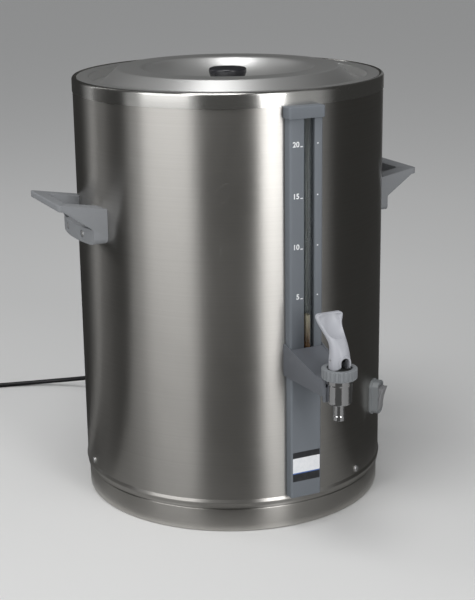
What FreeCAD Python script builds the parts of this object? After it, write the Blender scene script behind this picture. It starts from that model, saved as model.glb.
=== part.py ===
import FreeCAD, Part
import math
import os

# Catering urn for hot water: a double-wall body with a lift-off lid, a level gauge up its front,
# a lever tap in a moulded shroud, two side handles, a rocker switch and a mains lead.
# Millimetres. The origin is the centre of the foot, +Z is up and the tap faces -Y.

# body
jacket_r = 185.0
jacket_t = 0.7
jacket_foot_z = 30.5
wall_in = jacket_r - 15.0
wall_out = jacket_r + 15.0
bead_z = 37.0
bead_proud = 1.2
band_top_z = 512.5
band_foot_z = band_top_z - 17.0
band_t = 0.6
band_roll_r = 3.5
band_drop_r = jacket_r - 3.4
ledge_z = band_top_z - 2.0
ledge_in_r = jacket_r - 16.4
tank_r = jacket_r - 18.1
tank_t = 0.8
tank_floor_z = 226.8
tank_corner_r = 14.0
insulation_t = 12.5
insulation_foot_z = 240.0
insulation_top_z = band_top_z - 12.5
pan_r = jacket_r - 2.0
pan_t = 0.8
pan_ring_w = 22.0
pan_rise = 6.0
pan_groove_z = 29.4
pan_top_z = 64.0
slip = 0.1
seat_gap = 0.3
base_screw_z = 47.5
base_screw_angles = (27.5, 147.5, 267.5)
base_screw_r = 2.0
base_screw_head_r = 3.8

# lid
lid_r = jacket_r - 5.0
lid_t = 0.8
lid_lip_r = jacket_r - 19.1
gutter_z = band_top_z - 11.7
gutter_in_r = jacket_r - 31.0
crown_r = jacket_r - 53.5
crown_z = band_top_z + 7.8
dish_r = jacket_r - 82.0
dish_flat_r = 45.0
dish_flat_z = band_top_z - 19.5
knob_top_r = 22.5
knob_h = 25.0
knob_screw_r = 2.0
knob_screw_l = 14.0

# level gauge
strip_half_w = 20.5
strip_proud = 11.5
strip_foot_z = 222.0
strip_top_z = band_top_z - 29.0
strip_chamfer = 1.6
groove_x = 3.6
groove_w = 13.2
groove_depth = 10.4
lower_strip_half_w = 19.5
lower_strip_foot_z = 42.0
cap_half_w = 22.5
cap_h = 13.0
cap_proud = 14.0
tube_r = 5.0
tube_t = 1.3
tube_foot_z = 208.5
tube_top_z = strip_top_z + 5.5
seal_h = 5.0
seal_t = 0.8
boss_wall = 1.5

# tap
tap_y = -(jacket_r + 86.0)
inlet_z = 199.3
inlet_r = 6.9
inlet_bore_r = 5.0
inlet_flange_r = 7.1
inlet_end_y = -(jacket_r - 24.0)
barrel_r = 13.9
barrel_foot_z = 181.0
barrel_step_z = 203.0
cup_r = 15.0
cup_bore_r = 12.4
cup_top_z = 216.5
chamber_r = 10.5
seat_z = 186.0
spout_r = 6.2
spout_bore_r = 4.5
spout_end_z = 161.6
lip_r = 6.65
lip_h = 5.0
nut_r = 19.7
nut_foot_z = 210.0
nut_top_z = 222.0
nut_mouth_r = 14.0
nut_flutes = 24
flute_r = 1.35
flute_out = 0.15
bonnet_t = 2.0
stem_r = 3.0
stem_fit = 0.05
pin_r = 1.5
cam_r = 10.0
cam_lead = 4.0
cam_gap = 0.3
skirt_r = 11.85
arch_half_w = 5.2
arch_h = 14.5
hood_w = 1.7
hood_proud = 1.1
paddle_w = 33.0
paddle_top_z = nut_top_z + 55.8
paddle_corner_r = 5.0
paddle_border = 1.7
paddle_recess = 0.7
thumb_spot = (tap_y + 17.8, nut_top_z + 44.6)
thumb_ball_r = 26.0
thumb_depth = 1.3
# Stations up the lever: centre back from the tap's axis and up from the nut's top,
# direction y, z, then width, depth and corner radius.
lever_stations = (
    (0.0, -0.7, 0.0, 1.0, 23.7, 23.7, 11.6),
    (0.0, 5.0, 0.0, 1.0, 23.7, 23.7, 11.6),
    (0.0, 11.0, 0.0, 1.0, 23.2, 23.0, 11.2),
    (0.8, 18.5, 1.2, 9.0, 21.4, 19.6, 9.3),
    (4.4, 27.5, 5.0, 9.0, 20.6, 13.4, 6.2),
    (13.5, 37.0, 9.5, 9.0, 23.4, 8.0, 3.6),
    (21.4, 46.5, 5.4, 9.0, 29.8, 5.6, 2.5),
    (24.7, 56.6, 2.0, 8.0, 33.0, 4.8, 2.2),
)
eye_r = 4.1
cup_seal_r = 9.9
cup_seal_top_z = 202.0
spring_wire_r = 0.45
spring_r = 5.0
spring_turns = 5.0

# shroud of the tap
shroud_root_half_w = 23.5
shroud_nose_r = 18.5
shroud_foot_z = 190.0
shroud_rim_z = 227.4
shroud_t = 2.0
trough_rim_w = 1.8
trough_back_z = 226.6
trough_drop = 1.6
cradle_foot_z = 183.0
shroud_front = 4.0
collar_t = 2.0

# outlet elbow
elbow_y = -(jacket_r - 52.0)
elbow_r = 11.5
elbow_riser_r = 9.4
elbow_flange_r = 17.0
elbow_flange_t = 3.0
outlet_nut_h = 6.0
gasket_t = 0.8
hex_flat = 25.0
locknut_h = 6.0

# handles
handle_tip = jacket_r + 51.5
handle_half_w = 50.5
handle_top_z = 384.0
handle_slope = 0.172
handle_plate_t = 7.6
handle_pad_r = jacket_r + 17.0
handle_pad_foot_z = 333.0
handle_pad_top_z = 351.0
handle_knee = jacket_r + 45.0
handle_bar_in = jacket_r + 37.0
finger_half_w = 30.0
handle_corner_r = 3.5
handle_screw_y = 24.0
handle_screw_z = 342.5
handle_screw_r = 2.1
handle_screw_head_r = 3.8
backplate_t = 1.8
backplate_half_w = 36.0

# switch
switch_angle = 41.6
switch_z = 126.0
switch_half_h = 21.5
switch_side_half_h = 16.0
switch_shoulder = 7.0
switch_half_w = 13.0
switch_step = 3.0
switch_proud = 10.8
switch_inset = 1.3
pocket_half_w = 9.05
pocket_half_h = 15.8
rocker_half_w = 8.8
rocker_half_h = 14.0
rocker_face = 8.0
rocker_grooves = (2.4, 5.0)
rocker_groove_w = 0.9
rocker_groove_d = 0.7
rocker_tilt = 12.0
rocker_pivot_proud = 5.9
rocker_pin_r = 1.5
rocker_pin_reach = 9.75

# heating and wiring under the tank
heater_plate_r = 100.0
heater_plate_t = 4.0
element_r = 75.0
element_tube_r = 4.0
element_gap_deg = 36.0
element_tail = 14.0
element_bend_r = 12.0
stat_r = 9.0
stat_h = 11.0
stat_spot = (32.0, 18.0)
cutout_spot = (-32.0, 18.0)
block_size = (34.0, 22.0, 16.0)
block_spot = (0.0, 120.0)
earth_spot = (42.0, 118.0)

# mains lead; the route runs from the gland to the coil, then from the coil to the plug
cord_r = 3.2
gland_z = 53.0
gland_flange_r = 10.5
gland_flange_t = 4.0
gland_tip_y = jacket_r + 39.0
cord_route = (
    (0.0, 224.0, 53.0),
    (0.0, 256.0, 53.0),
    (-6.0, 292.0, 48.0),
    (-22.0, 330.0, 36.5),
    (-45.0, 368.0, 22.5),
    (-72.0, 404.0, 12.0),
    (-108.0, 431.0, 5.7),
    (-147.0, 447.0, 3.4),
    (-183.0, 456.0, 3.4),
    (-214.0, 458.5, 4.2),
    (-245.0, 458.5, 4.2),
)
coil_r = 49.0
coil_pitch = 7.0
coil_loops = 6
coil_climb = 0.5
tie_w = 9.0
tie_t = 0.8
tail_steps = ((24.0, 0.0), (26.0, 3.0), (24.0, 4.0))
plug_r = 18.5
plug_face_t = 9.0
plug_l = 36.0
plug_relief_l = 18.0
plug_pin_r = 2.4
plug_pin_l = 19.0
plug_pin_gap = 19.0

strip_front_y = -(jacket_r + strip_proud)
tube_y = strip_front_y + groove_depth - tube_r
pin_z = nut_top_z - 1.0 + cam_gap + cam_r
skirt_foot_z = nut_top_z - 1.0 + cam_gap
coil_z = cord_r + tie_t + 0.2


def vec(x, y, z):
    return FreeCAD.Vector(x, y, z)


def loop(corners, place):
    """Closed wire through (a, b[, radius]) corners; a radius rounds its corner."""
    spans = []
    count = len(corners)
    for i, corner in enumerate(corners):
        here = place(*corner[:2])
        radius = corner[2] if len(corner) > 2 else 0.0
        if radius <= 0:
            spans.append((here, None, here))
            continue
        back = (place(*corners[i - 1][:2]) - here).normalize()
        ahead = (place(*corners[(i + 1) % count][:2]) - here).normalize()
        half = back.getAngle(ahead) / 2
        reach = radius / math.tan(half)
        inward = (back + ahead).normalize()
        middle = here + inward * (radius / math.sin(half) - radius)
        spans.append((here + back * reach, middle, here + ahead * reach))
    edges = []
    for i, (start, middle, end) in enumerate(spans):
        if middle:
            edges.append(Part.Arc(start, middle, end).toShape())
        following = spans[(i + 1) % count][0]
        if end.distanceToPoint(following) > 1e-6:
            edges.append(Part.LineSegment(end, following).toShape())
    return Part.Wire(edges)


def sheet(path, thickness):
    """Outline of bent sheet: the path is one face, the other lies to the left of its direction."""
    other = []
    for i, corner in enumerate(path):
        a, b = corner[:2]
        radius = corner[2] if len(corner) > 2 else 0.0
        before = path[max(i - 1, 0)]
        after = path[min(i + 1, len(path) - 1)]
        came = (a - before[0], b - before[1]) if i > 0 else (after[0] - a, after[1] - b)
        goes = (after[0] - a, after[1] - b) if i < len(path) - 1 else came
        came_l = math.hypot(*came)
        goes_l = math.hypot(*goes)
        n0 = (-came[1] / came_l, came[0] / came_l)
        n1 = (-goes[1] / goes_l, goes[0] / goes_l)
        share = thickness / (1 + n0[0] * n1[0] + n0[1] * n1[1])
        turn = came[0] * goes[1] - came[1] * goes[0]
        new_r = radius - thickness if turn > 0 else radius + thickness
        other.append((a + (n0[0] + n1[0]) * share, b + (n0[1] + n1[1]) * share, new_r if radius else 0.0))
    return list(path) + other[::-1]


def turned(corners, x=0.0, y=0.0):
    """Solid of revolution of an (r, z) outline about the vertical through x, y."""
    face = Part.Face(loop(corners, lambda r, z: vec(r, 0, z)))
    solid = face.revolve(vec(0, 0, 0), vec(0, 0, 1), 360)
    solid.translate(vec(x, y, 0))
    return solid


def raised(corners, low, high):
    """Prism of an (x, y) outline from one height to another."""
    face = Part.Face(loop(corners, lambda x, y: vec(x, y, low)))
    return face.extrude(vec(0, 0, high - low))


def across_x(corners, low, high):
    """Prism of a (y, z) outline between two x values."""
    face = Part.Face(loop(corners, lambda y, z: vec(low, y, z)))
    return face.extrude(vec(high - low, 0, 0))


def across_y(corners, low, high):
    """Prism of an (x, z) outline between two y values."""
    face = Part.Face(loop(corners, lambda x, z: vec(x, low, z)))
    return face.extrude(vec(0, high - low, 0))


def rod(radius, start, end):
    """Round bar between two points."""
    line = end - start
    return Part.makeCylinder(radius, line.Length, start, line)


def box(x0, x1, y0, y1, z0, z1):
    return Part.makeBox(x1 - x0, y1 - y0, z1 - z0, vec(x0, y0, z0))


def around(shape, degrees):
    """The shape turned about the body's axis; it was drawn at the front, facing -Y."""
    copy = shape.copy()
    copy.rotate(vec(0, 0, 0), vec(0, 0, 1), degrees)
    return copy


def outside_body(shape, radius):
    """What of the shape lies outside a cylinder about the body's axis."""
    return shape.cut(rod(radius, vec(0, 0, -50), vec(0, 0, 700)))


def hexagon(flat):
    """Corners of a hexagon with the given width over its flats."""
    reach = flat / math.sqrt(3)
    turns = [math.radians(60 * i) for i in range(6)]
    return [(reach * math.cos(turn), reach * math.sin(turn)) for turn in turns]


def arc_pair(start, start_way, end, end_way):
    """Two tangent arcs from a point and direction to another."""
    line = end - start
    ways = start_way + end_way
    bend = 2 * (1 - start_way.dot(end_way))
    along = line.dot(ways)
    if bend < 1e-9:
        return [Part.LineSegment(start, end).toShape()]
    reach = (-along + math.sqrt(along * along + bend * line.dot(line))) / bend
    first = start + start_way * reach
    second = end - end_way * reach
    joint = (first + second) * 0.5
    edges = []
    for a, corner, b in ((start, first, joint), (joint, second, end)):
        middle = (a + b) * 0.5
        cosine = a.distanceToPoint(middle) / reach
        edges.append(Part.Arc(a, middle + (corner - middle) * (cosine / (1 + cosine)), b).toShape())
    return edges


def winding(place, turns, steps=4):
    """Edges of tangent arcs along place(turn), which gives a point for each part of a turn."""
    count = round(turns * steps)
    nudge = 1e-4

    def way(t):
        return (place(t + nudge) - place(t - nudge)).normalize()

    stops = [turns * i / count for i in range(count + 1)]
    edges = []
    for a, b in zip(stops, stops[1:]):
        edges += arc_pair(place(a), way(a), place(b), way(b))
    return edges, way(0), way(turns)


def tube_along(edges, radius):
    """Round tube along a wire of tangent edges."""
    path = Part.Wire(edges)
    start = path.OrderedEdges[0]
    first = start.firstVertex(True).Point
    way = start.tangentAt(start.FirstParameter)
    if start.Orientation == "Reversed":
        way = start.tangentAt(start.LastParameter) * -1
    ring = Part.Wire([Part.Circle(first, way, radius).toShape()])
    return path.makePipeShell([ring], True, False)


def bent_route(points, label):
    """Edges of straight runs joined by tangent arcs, each as large as its two runs allow."""
    places = [vec(*p) for p in points]
    edges = []
    radii = []
    here = places[0]
    for before, corner, after in zip(places, places[1:], places[2:]):
        back = (before - corner).normalize()
        ahead = (after - corner).normalize()
        turn = math.pi - back.getAngle(ahead)
        reach = 0.45 * min(before.distanceToPoint(corner), after.distanceToPoint(corner))
        radius = reach / math.tan(turn / 2)
        radii.append(round(radius, 1))
        half = back.getAngle(ahead) / 2
        middle = corner + (back + ahead).normalize() * (radius / math.sin(half) - radius)
        edges.append(Part.LineSegment(here, corner + back * reach).toShape())
        here = corner + ahead * reach
        edges.append(Part.Arc(corner + back * reach, middle, here).toShape())
    edges.append(Part.LineSegment(here, places[-1]).toShape())
    print(label, "radii", radii, "length", round(sum(e.Length for e in edges), 1))
    return edges


def outer_jacket():
    bead = sheet(
        [
            (jacket_r - jacket_t, band_top_z - 3.4),
            (jacket_r - jacket_t, bead_z + 4, 2.0),
            (jacket_r - jacket_t + bead_proud, bead_z, 2.0),
            (jacket_r - jacket_t, bead_z - 4, 2.0),
            (jacket_r - jacket_t, jacket_foot_z),
        ],
        jacket_t,
    )
    shell = turned(bead)
    cuts = [rod(inlet_r + seat_gap, vec(0, -wall_out, inlet_z), vec(0, -wall_in, inlet_z))]
    boss_room = boss_r() + seat_gap
    slot_top = boss_top_z() + seat_gap
    slot = box(groove_x - boss_room, groove_x + boss_room, -wall_out, -wall_in, inlet_z, slot_top)
    cuts.append(slot)
    cuts.append(rod(gland_hole_r(), vec(0, wall_in, gland_z), vec(0, wall_out, gland_z)))
    for side in (-1, 1):
        for y in (-handle_screw_y, handle_screw_y):
            near = vec(side * wall_in, y, handle_screw_z)
            far = vec(side * wall_out, y, handle_screw_z)
            cuts.append(rod(handle_screw_r + seat_gap, near, far))
    cuts += base_screw_holes(base_screw_r + seat_gap)
    half_w = pocket_half_w + 1.0
    half_h = pocket_half_h + 1.0
    hole = box(-half_w, half_w, -wall_out, -wall_in, switch_z - half_h, switch_z + half_h)
    cuts.append(around(hole, switch_angle))
    return shell.cut(cuts)


def base_screw_holes(radius):
    hole = rod(radius, vec(0, -wall_out, base_screw_z), vec(0, -wall_in, base_screw_z))
    return [around(hole, angle) for angle in base_screw_angles]


def gland_hole_r():
    return cord_r + 4.3


def top_band():
    over = jacket_r + 0.05
    flat_z = ledge_z - band_t
    return turned(
        sheet(
            [
                (ledge_in_r, flat_z),
                (band_drop_r + band_t, flat_z),
                (band_drop_r + band_t, band_top_z - band_t, 0.3),
                (over, band_top_z - band_t, band_roll_r - band_t),
                (over, band_foot_z),
            ],
            band_t,
        )
    )


def tank_flange_z():
    return ledge_z - band_t


def inner_tank():
    shell = turned(
        [
            (0, tank_floor_z),
            (tank_r, tank_floor_z, tank_corner_r),
            (tank_r, tank_flange_z(), 1.5),
            (jacket_r - 0.1, tank_flange_z()),
            (jacket_r - 0.1, tank_flange_z() - tank_t),
            (tank_r + tank_t, tank_flange_z() - tank_t, 0.7),
            (tank_r + tank_t, tank_floor_z - tank_t, tank_corner_r + tank_t),
            (0, tank_floor_z - tank_t),
        ]
    )
    below = vec(0, elbow_y, tank_floor_z - 20)
    above = vec(0, elbow_y, tank_floor_z + 20)
    return shell.cut(rod(elbow_riser_r + seat_gap, below, above))


def insulation():
    inner = tank_r + tank_t + seat_gap
    outer = inner + insulation_t
    foot = insulation_foot_z
    top = insulation_top_z
    return turned([(inner, foot), (outer, foot, 3), (outer, top, 3), (inner, top)])


def base_pan():
    inside = jacket_r - jacket_t - slip
    shell = turned(
        sheet(
            [
                (0, pan_rise),
                (pan_r - pan_ring_w - pan_rise, pan_rise, 2.0),
                (pan_r - pan_ring_w, 0, 2.0),
                (pan_r, 0, 2.5),
                (pan_r, pan_groove_z - 1.5, 1.0),
                (pan_r - 1.6, pan_groove_z, 1.0),
                (inside, pan_groove_z + 4, 1.2),
                (inside, pan_top_z),
            ],
            pan_t,
        )
    )
    cuts = [rod(gland_hole_r(), vec(0, wall_in, gland_z), vec(0, wall_out, gland_z))]
    cuts.append(rod(2.1, vec(*earth_spot, -5), vec(*earth_spot, 20)))
    cuts += base_screw_holes(base_screw_r + slip)
    return shell.cut(cuts)


def pan_screw(radius, head_r, head_h, seat, reach, z):
    """Domed screw at the front, pointing inwards: its head's underside is at the radius seat."""
    outline = [
        (0, 0),
        (radius, 0),
        (radius, reach),
        (head_r, reach),
        (head_r, reach + head_h, head_h * 0.6),
        (0, reach + head_h),
    ]
    screw = turned(outline)
    screw.rotate(vec(0, 0, 0), vec(1, 0, 0), 90)
    screw.translate(vec(0, -seat + reach, z))
    return screw


def base_screws():
    seat = jacket_r + 0.05
    screw = pan_screw(base_screw_r, base_screw_head_r, 2.2, seat, 8.0, base_screw_z)
    return [around(screw, angle) for angle in base_screw_angles]


def lid_pan():
    shell = turned(
        sheet(
            [
                (0, dish_flat_z - lid_t),
                (dish_flat_r + 35.4, dish_flat_z - lid_t, 60.0),
                (dish_r, crown_z - lid_t, 7.0),
                (crown_r, crown_z - lid_t, 4.0),
                (gutter_in_r, gutter_z - lid_t, 3.0),
                (lid_lip_r, gutter_z - lid_t, 3.0),
                (lid_lip_r, ledge_z + seat_gap, 1.2),
                (lid_r, ledge_z + seat_gap),
            ],
            lid_t,
        )
    )
    return shell.cut(rod(knob_screw_r + 0.1, vec(0, 0, dish_flat_z - 10), vec(0, 0, dish_flat_z + 10)))


def lid_knob():
    z = dish_flat_z
    top = z + knob_h
    body = turned(
        [
            (0, z),
            (15.0, z, 1.5),
            (15.0, z + 4, 3.0),
            (knob_top_r - 2.2, z + knob_h * 0.55, 6.0),
            (knob_top_r, top - 5, 3.0),
            (knob_top_r, top, 2.5),
            (9.0, top, 4.0),
            (0, top - 1.2),
        ]
    )
    return body.cut(rod(knob_screw_r + stem_fit, vec(0, 0, z - 1), vec(0, 0, z + knob_screw_l)))


def knob_screw():
    under = dish_flat_z - lid_t
    return turned(
        [
            (0, under - 2.4),
            (4.2, under - 2.4, 1.0),
            (4.2, under),
            (knob_screw_r, under),
            (knob_screw_r, dish_flat_z + knob_screw_l - 1),
            (0, dish_flat_z + knob_screw_l - 1),
        ]
    )


def tube_rod(radius, low, high):
    return rod(radius, vec(groove_x, tube_y, low), vec(groove_x, tube_y, high))


def strip_bar(half_w, low, high):
    """Bar on the front of the jacket, with its long front edges chamfered."""
    bar = raised(
        [
            (-half_w + strip_chamfer, strip_front_y),
            (half_w - strip_chamfer, strip_front_y),
            (half_w, strip_front_y + strip_chamfer),
            (half_w, -wall_in),
            (-half_w, -wall_in),
            (-half_w, strip_front_y + strip_chamfer),
        ],
        low,
        high,
    )
    return outside_body(bar, jacket_r + 0.15)


def gauge_strip():
    x0 = groove_x - groove_w / 2
    groove = raised(
        [
            (x0, strip_front_y - 1),
            (x0 + groove_w, strip_front_y - 1),
            (x0 + groove_w, strip_front_y + groove_depth, 2.0),
            (x0, strip_front_y + groove_depth, 2.0),
        ],
        strip_foot_z - 1,
        strip_top_z + 1,
    )
    tube_room = tube_rod(tube_r + 0.15, strip_foot_z - 20, strip_top_z + 20)
    return strip_bar(strip_half_w, strip_foot_z, strip_top_z).cut([groove, tube_room])


def lower_strip():
    return strip_bar(lower_strip_half_w, lower_strip_foot_z, shroud_foot_z)


def gauge_cap():
    front = -(jacket_r + cap_proud)
    low = strip_top_z
    block = raised(
        [
            (-cap_half_w, front, 3.0),
            (cap_half_w, front, 3.0),
            (cap_half_w, -wall_in),
            (-cap_half_w, -wall_in),
        ],
        low,
        low + cap_h,
    )
    edges = [e for e in block.Edges if e.BoundBox.ZMin > low + cap_h - 0.01]
    top_edges = [e for e in edges if e.BoundBox.YMax < -wall_in - 1]
    block = block.makeFillet(1.5, top_edges)
    block = outside_body(block, jacket_r + 0.95)
    room = tube_rod(tube_r + 0.15, low - 1, tube_top_z + 0.3)
    seal_room = tube_rod(tube_r + seal_t + 0.05, low - 1, low + seal_h)
    return block.cut([room, seal_room])


def sight_tube():
    outer = tube_rod(tube_r, tube_foot_z, tube_top_z)
    return outer.cut(tube_rod(tube_r - tube_t, tube_foot_z - 10, tube_top_z + 10))


def boss_r():
    return tube_r + seal_t + boss_wall


def boss_top_z():
    return tube_foot_z + 9.5


def tube_seals():
    rings = []
    for foot in (boss_top_z() - seal_h, strip_top_z):
        low = vec(groove_x, tube_y, foot)
        high = vec(groove_x, tube_y, foot + seal_h - 0.1)
        rings.append(rod(tube_r + seal_t, low, high).cut(rod(tube_r + 0.02, low, high)))
    return rings


def tap_body():
    barrel = turned(
        [
            (0, spout_end_z),
            (lip_r, spout_end_z, 0.6),
            (lip_r, spout_end_z + lip_h, 0.6),
            (spout_r, spout_end_z + lip_h + 0.8),
            (spout_r, barrel_foot_z),
            (barrel_r, barrel_foot_z, 2.5),
            (barrel_r, barrel_step_z),
            (cup_r, barrel_step_z + 2),
            (cup_r, cup_top_z),
            (0, cup_top_z),
        ],
        0,
        tap_y,
    )
    stub = rod(inlet_r, vec(0, tap_y, inlet_z), vec(0, inlet_end_y, inlet_z))
    flange = rod(inlet_flange_r, vec(0, -jacket_r - 3.5, inlet_z), vec(0, -jacket_r - 0.2, inlet_z))
    boss = rod(boss_r(), vec(groove_x, tube_y, inlet_z), vec(groove_x, tube_y, boss_top_z()))
    body = barrel.fuse([stub, flange, boss]).removeSplitter()
    cuts = [
        rod(spout_bore_r, vec(0, tap_y, spout_end_z - 1), vec(0, tap_y, seat_z + 1)),
        rod(chamber_r, vec(0, tap_y, seat_z), vec(0, tap_y, cup_top_z - 2)),
        rod(cup_bore_r, vec(0, tap_y, cup_top_z - 3.2), vec(0, tap_y, cup_top_z + 1)),
        rod(inlet_bore_r, vec(0, tap_y, inlet_z), vec(0, inlet_end_y + 1, inlet_z)),
        rod(tube_r - tube_t, vec(groove_x, tube_y, inlet_z), vec(groove_x, tube_y, tube_foot_z)),
        rod(tube_r + 0.15, vec(groove_x, tube_y, tube_foot_z - 0.3), vec(groove_x, tube_y, boss_top_z() + 1)),
        tube_rod(tube_r + seal_t + 0.05, boss_top_z() - seal_h, boss_top_z() + 1),
    ]
    return body.cut(cuts)


def tap_nut():
    lip_z = cup_top_z + bonnet_t
    ring = turned(
        [
            (cup_r + 0.05, nut_foot_z),
            (nut_r - 1.2, nut_foot_z),
            (nut_r, nut_foot_z + 1.2),
            (nut_r, nut_top_z, 0.8),
            (nut_mouth_r, nut_top_z, 0.4),
            (nut_mouth_r, lip_z + 1.0),
            (cup_bore_r + 0.2, lip_z + 1.0),
            (cup_bore_r + 0.2, lip_z),
            (cup_r + 0.05, lip_z),
        ],
        0,
        tap_y,
    )
    flutes = []
    for i in range(nut_flutes):
        angle = 2 * math.pi * i / nut_flutes
        reach = nut_r + flute_out
        x = reach * math.cos(angle)
        y = tap_y + reach * math.sin(angle)
        flutes.append(rod(flute_r, vec(x, y, nut_foot_z - 1), vec(x, y, nut_top_z + 1)))
    return ring.cut(flutes)


def tap_bonnet():
    wear_z = nut_top_z - 1.0
    return turned(
        [
            (stem_r + stem_fit, cup_top_z - 3.0),
            (cup_bore_r - 0.1, cup_top_z - 3.0),
            (cup_bore_r - 0.1, cup_top_z),
            (cup_r - 0.1, cup_top_z),
            (cup_r - 0.1, cup_top_z + bonnet_t),
            (cup_bore_r - 0.4, cup_top_z + bonnet_t),
            (cup_bore_r - 0.4, wear_z, 0.5),
            (stem_r + stem_fit, wear_z),
        ],
        0,
        tap_y,
    )


def valve_stem():
    foot = seat_z + 2.0
    shank = rod(stem_r, vec(0, tap_y, foot), vec(0, tap_y, pin_z))
    eye = rod(eye_r, vec(-arch_half_w + 0.4, tap_y, pin_z), vec(arch_half_w - 0.4, tap_y, pin_z))
    stem = shank.fuse(eye).removeSplitter()
    return stem.cut(rod(pin_r + stem_fit, vec(-20, tap_y, pin_z), vec(20, tap_y, pin_z)))


def seat_cup():
    bore = stem_r + stem_fit
    return turned(
        [
            (0, seat_z),
            (spout_bore_r + 2.6, seat_z, 0.8),
            (spout_bore_r + 2.6, seat_z + 4, 2.0),
            (cup_seal_r, seat_z + 10, 2.0),
            (cup_seal_r, cup_seal_top_z),
            (bore, cup_seal_top_z),
            (bore, seat_z + 1.9),
            (0, seat_z + 1.9),
        ],
        0,
        tap_y,
    )


def valve_spring():
    low = cup_seal_top_z + spring_wire_r + 0.1
    high = cup_top_z - 3.0 - spring_wire_r - 0.1

    def place(t):
        angle = 2 * math.pi * t
        rise = low + (high - low) * t / spring_turns
        return vec(spring_r * math.cos(angle), tap_y + spring_r * math.sin(angle), rise)

    edges, _, _ = winding(place, spring_turns)
    return tube_along(edges, spring_wire_r)


def lever_pin():
    reach = skirt_r - 0.7
    return rod(pin_r, vec(-reach, tap_y, pin_z), vec(reach, tap_y, pin_z))


def paddle_section(y, z, way_y, way_z, width, depth, radius):
    """Rounded section of the lever across its centre line at y, z."""
    length = math.hypot(way_y, way_z)
    up = (way_y / length, way_z / length)
    front = (-up[1], up[0])
    corners = [
        (-width / 2, -depth / 2, radius),
        (width / 2, -depth / 2, radius),
        (width / 2, depth / 2, radius),
        (-width / 2, depth / 2, radius),
    ]
    return loop(corners, lambda a, b: vec(a, y + front[0] * b, z + front[1] * b))


def lever_sections(trim, lift):
    """Sections up the lever; trim narrows them and lift moves them out of its front face."""
    sections = []
    for back, up, way_y, way_z, width, depth, radius in lever_stations:
        y = tap_y + back
        z = nut_top_z + up
        length = math.hypot(way_y, way_z)
        shift = depth / 2 + lift
        middle_y = y - way_z / length * shift if trim else y
        middle_z = z + way_y / length * shift if trim else z
        thick = 2 * lift + 2 * paddle_recess if trim else depth
        round_r = min(radius, thick / 2 - 0.1)
        sections.append(paddle_section(middle_y, middle_z, way_y, way_z, width - 2 * trim, thick, round_r))
    return sections


def paddle_front(inset):
    """Outline of the thumb plate seen from the front, with its rounded top corners."""
    half = paddle_w / 2 + 0.5 - inset
    top = paddle_top_z - inset
    corners = [
        (-half, skirt_foot_z - 1),
        (half, skirt_foot_z - 1),
        (half, top, paddle_corner_r),
        (-half, top, paddle_corner_r),
    ]
    return across_y(corners, tap_y - 40, tap_y + 80)


def arch_slot(grow, front, back):
    """Rounded opening in the front of the lever's skirt, or the hood round it."""
    half = arch_half_w + grow
    top = skirt_foot_z + arch_h + grow
    foot = skirt_foot_z - (0 if grow else 2)
    corners = [(-half, foot), (half, foot), (half, top, half - 0.05), (-half, top, half - 0.05)]
    return across_y(corners, front, back)


def tap_lever():
    body = Part.makeLoft(lever_sections(0, 0), True, False)
    body = body.common(paddle_front(0))
    hood = arch_slot(hood_w, tap_y - skirt_r - hood_proud, tap_y - skirt_r / 2)
    lever = body.fuse(hood)
    recess = Part.makeLoft(lever_sections(paddle_border, 1.5)[-3:], True, False)
    recess = recess.common(paddle_front(paddle_border))
    slot = arch_slot(0, tap_y - 30, tap_y + eye_r + 0.4)
    eye_room = rod(eye_r + 0.4, vec(-arch_half_w, tap_y, pin_z), vec(arch_half_w, tap_y, pin_z))
    pin_room = rod(pin_r + stem_fit, vec(-30, tap_y, pin_z), vec(30, tap_y, pin_z))
    cam_y = tap_y - cam_lead
    corner = box(-30, 30, cam_y - 30, cam_y, skirt_foot_z - 2, pin_z)
    corner = corner.cut(rod(cam_r, vec(-40, cam_y, pin_z), vec(40, cam_y, pin_z)))
    thumb = vec(0, *thumb_spot)
    dish = Part.makeSphere(thumb_ball_r, thumb + vec(0, -0.84, 0.54) * (thumb_ball_r - thumb_depth))
    return lever.cut([recess, slot, eye_room, pin_room, corner, dish])


def shroud_plan(half_root, nose_r, root_y):
    """Edges of the shroud's plan: straight sides tangent to a round nose about the tap."""
    root = (half_root, root_y)
    away = math.hypot(root[0], root[1] - tap_y)
    aim = math.atan2(root[1] - tap_y, root[0])
    touch = aim - math.acos(nose_r / away)
    tx = nose_r * math.cos(touch)
    ty = tap_y + nose_r * math.sin(touch)
    corners = [vec(tx, ty, 0), vec(half_root, root_y, 0), vec(-half_root, root_y, 0), vec(-tx, ty, 0)]
    edges = [Part.LineSegment(a, b).toShape() for a, b in zip(corners, corners[1:])]
    edges.append(Part.Arc(corners[3], vec(0, tap_y - nose_r, 0), corners[0]).toShape())
    return Part.Wire(edges)


def shroud_prism(inset, low, high, root_y):
    plan = shroud_plan(shroud_root_half_w - inset, shroud_nose_r - inset, root_y)
    prism = Part.Face(plan).extrude(vec(0, 0, high - low))
    prism.translate(vec(0, 0, low))
    return prism


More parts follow.
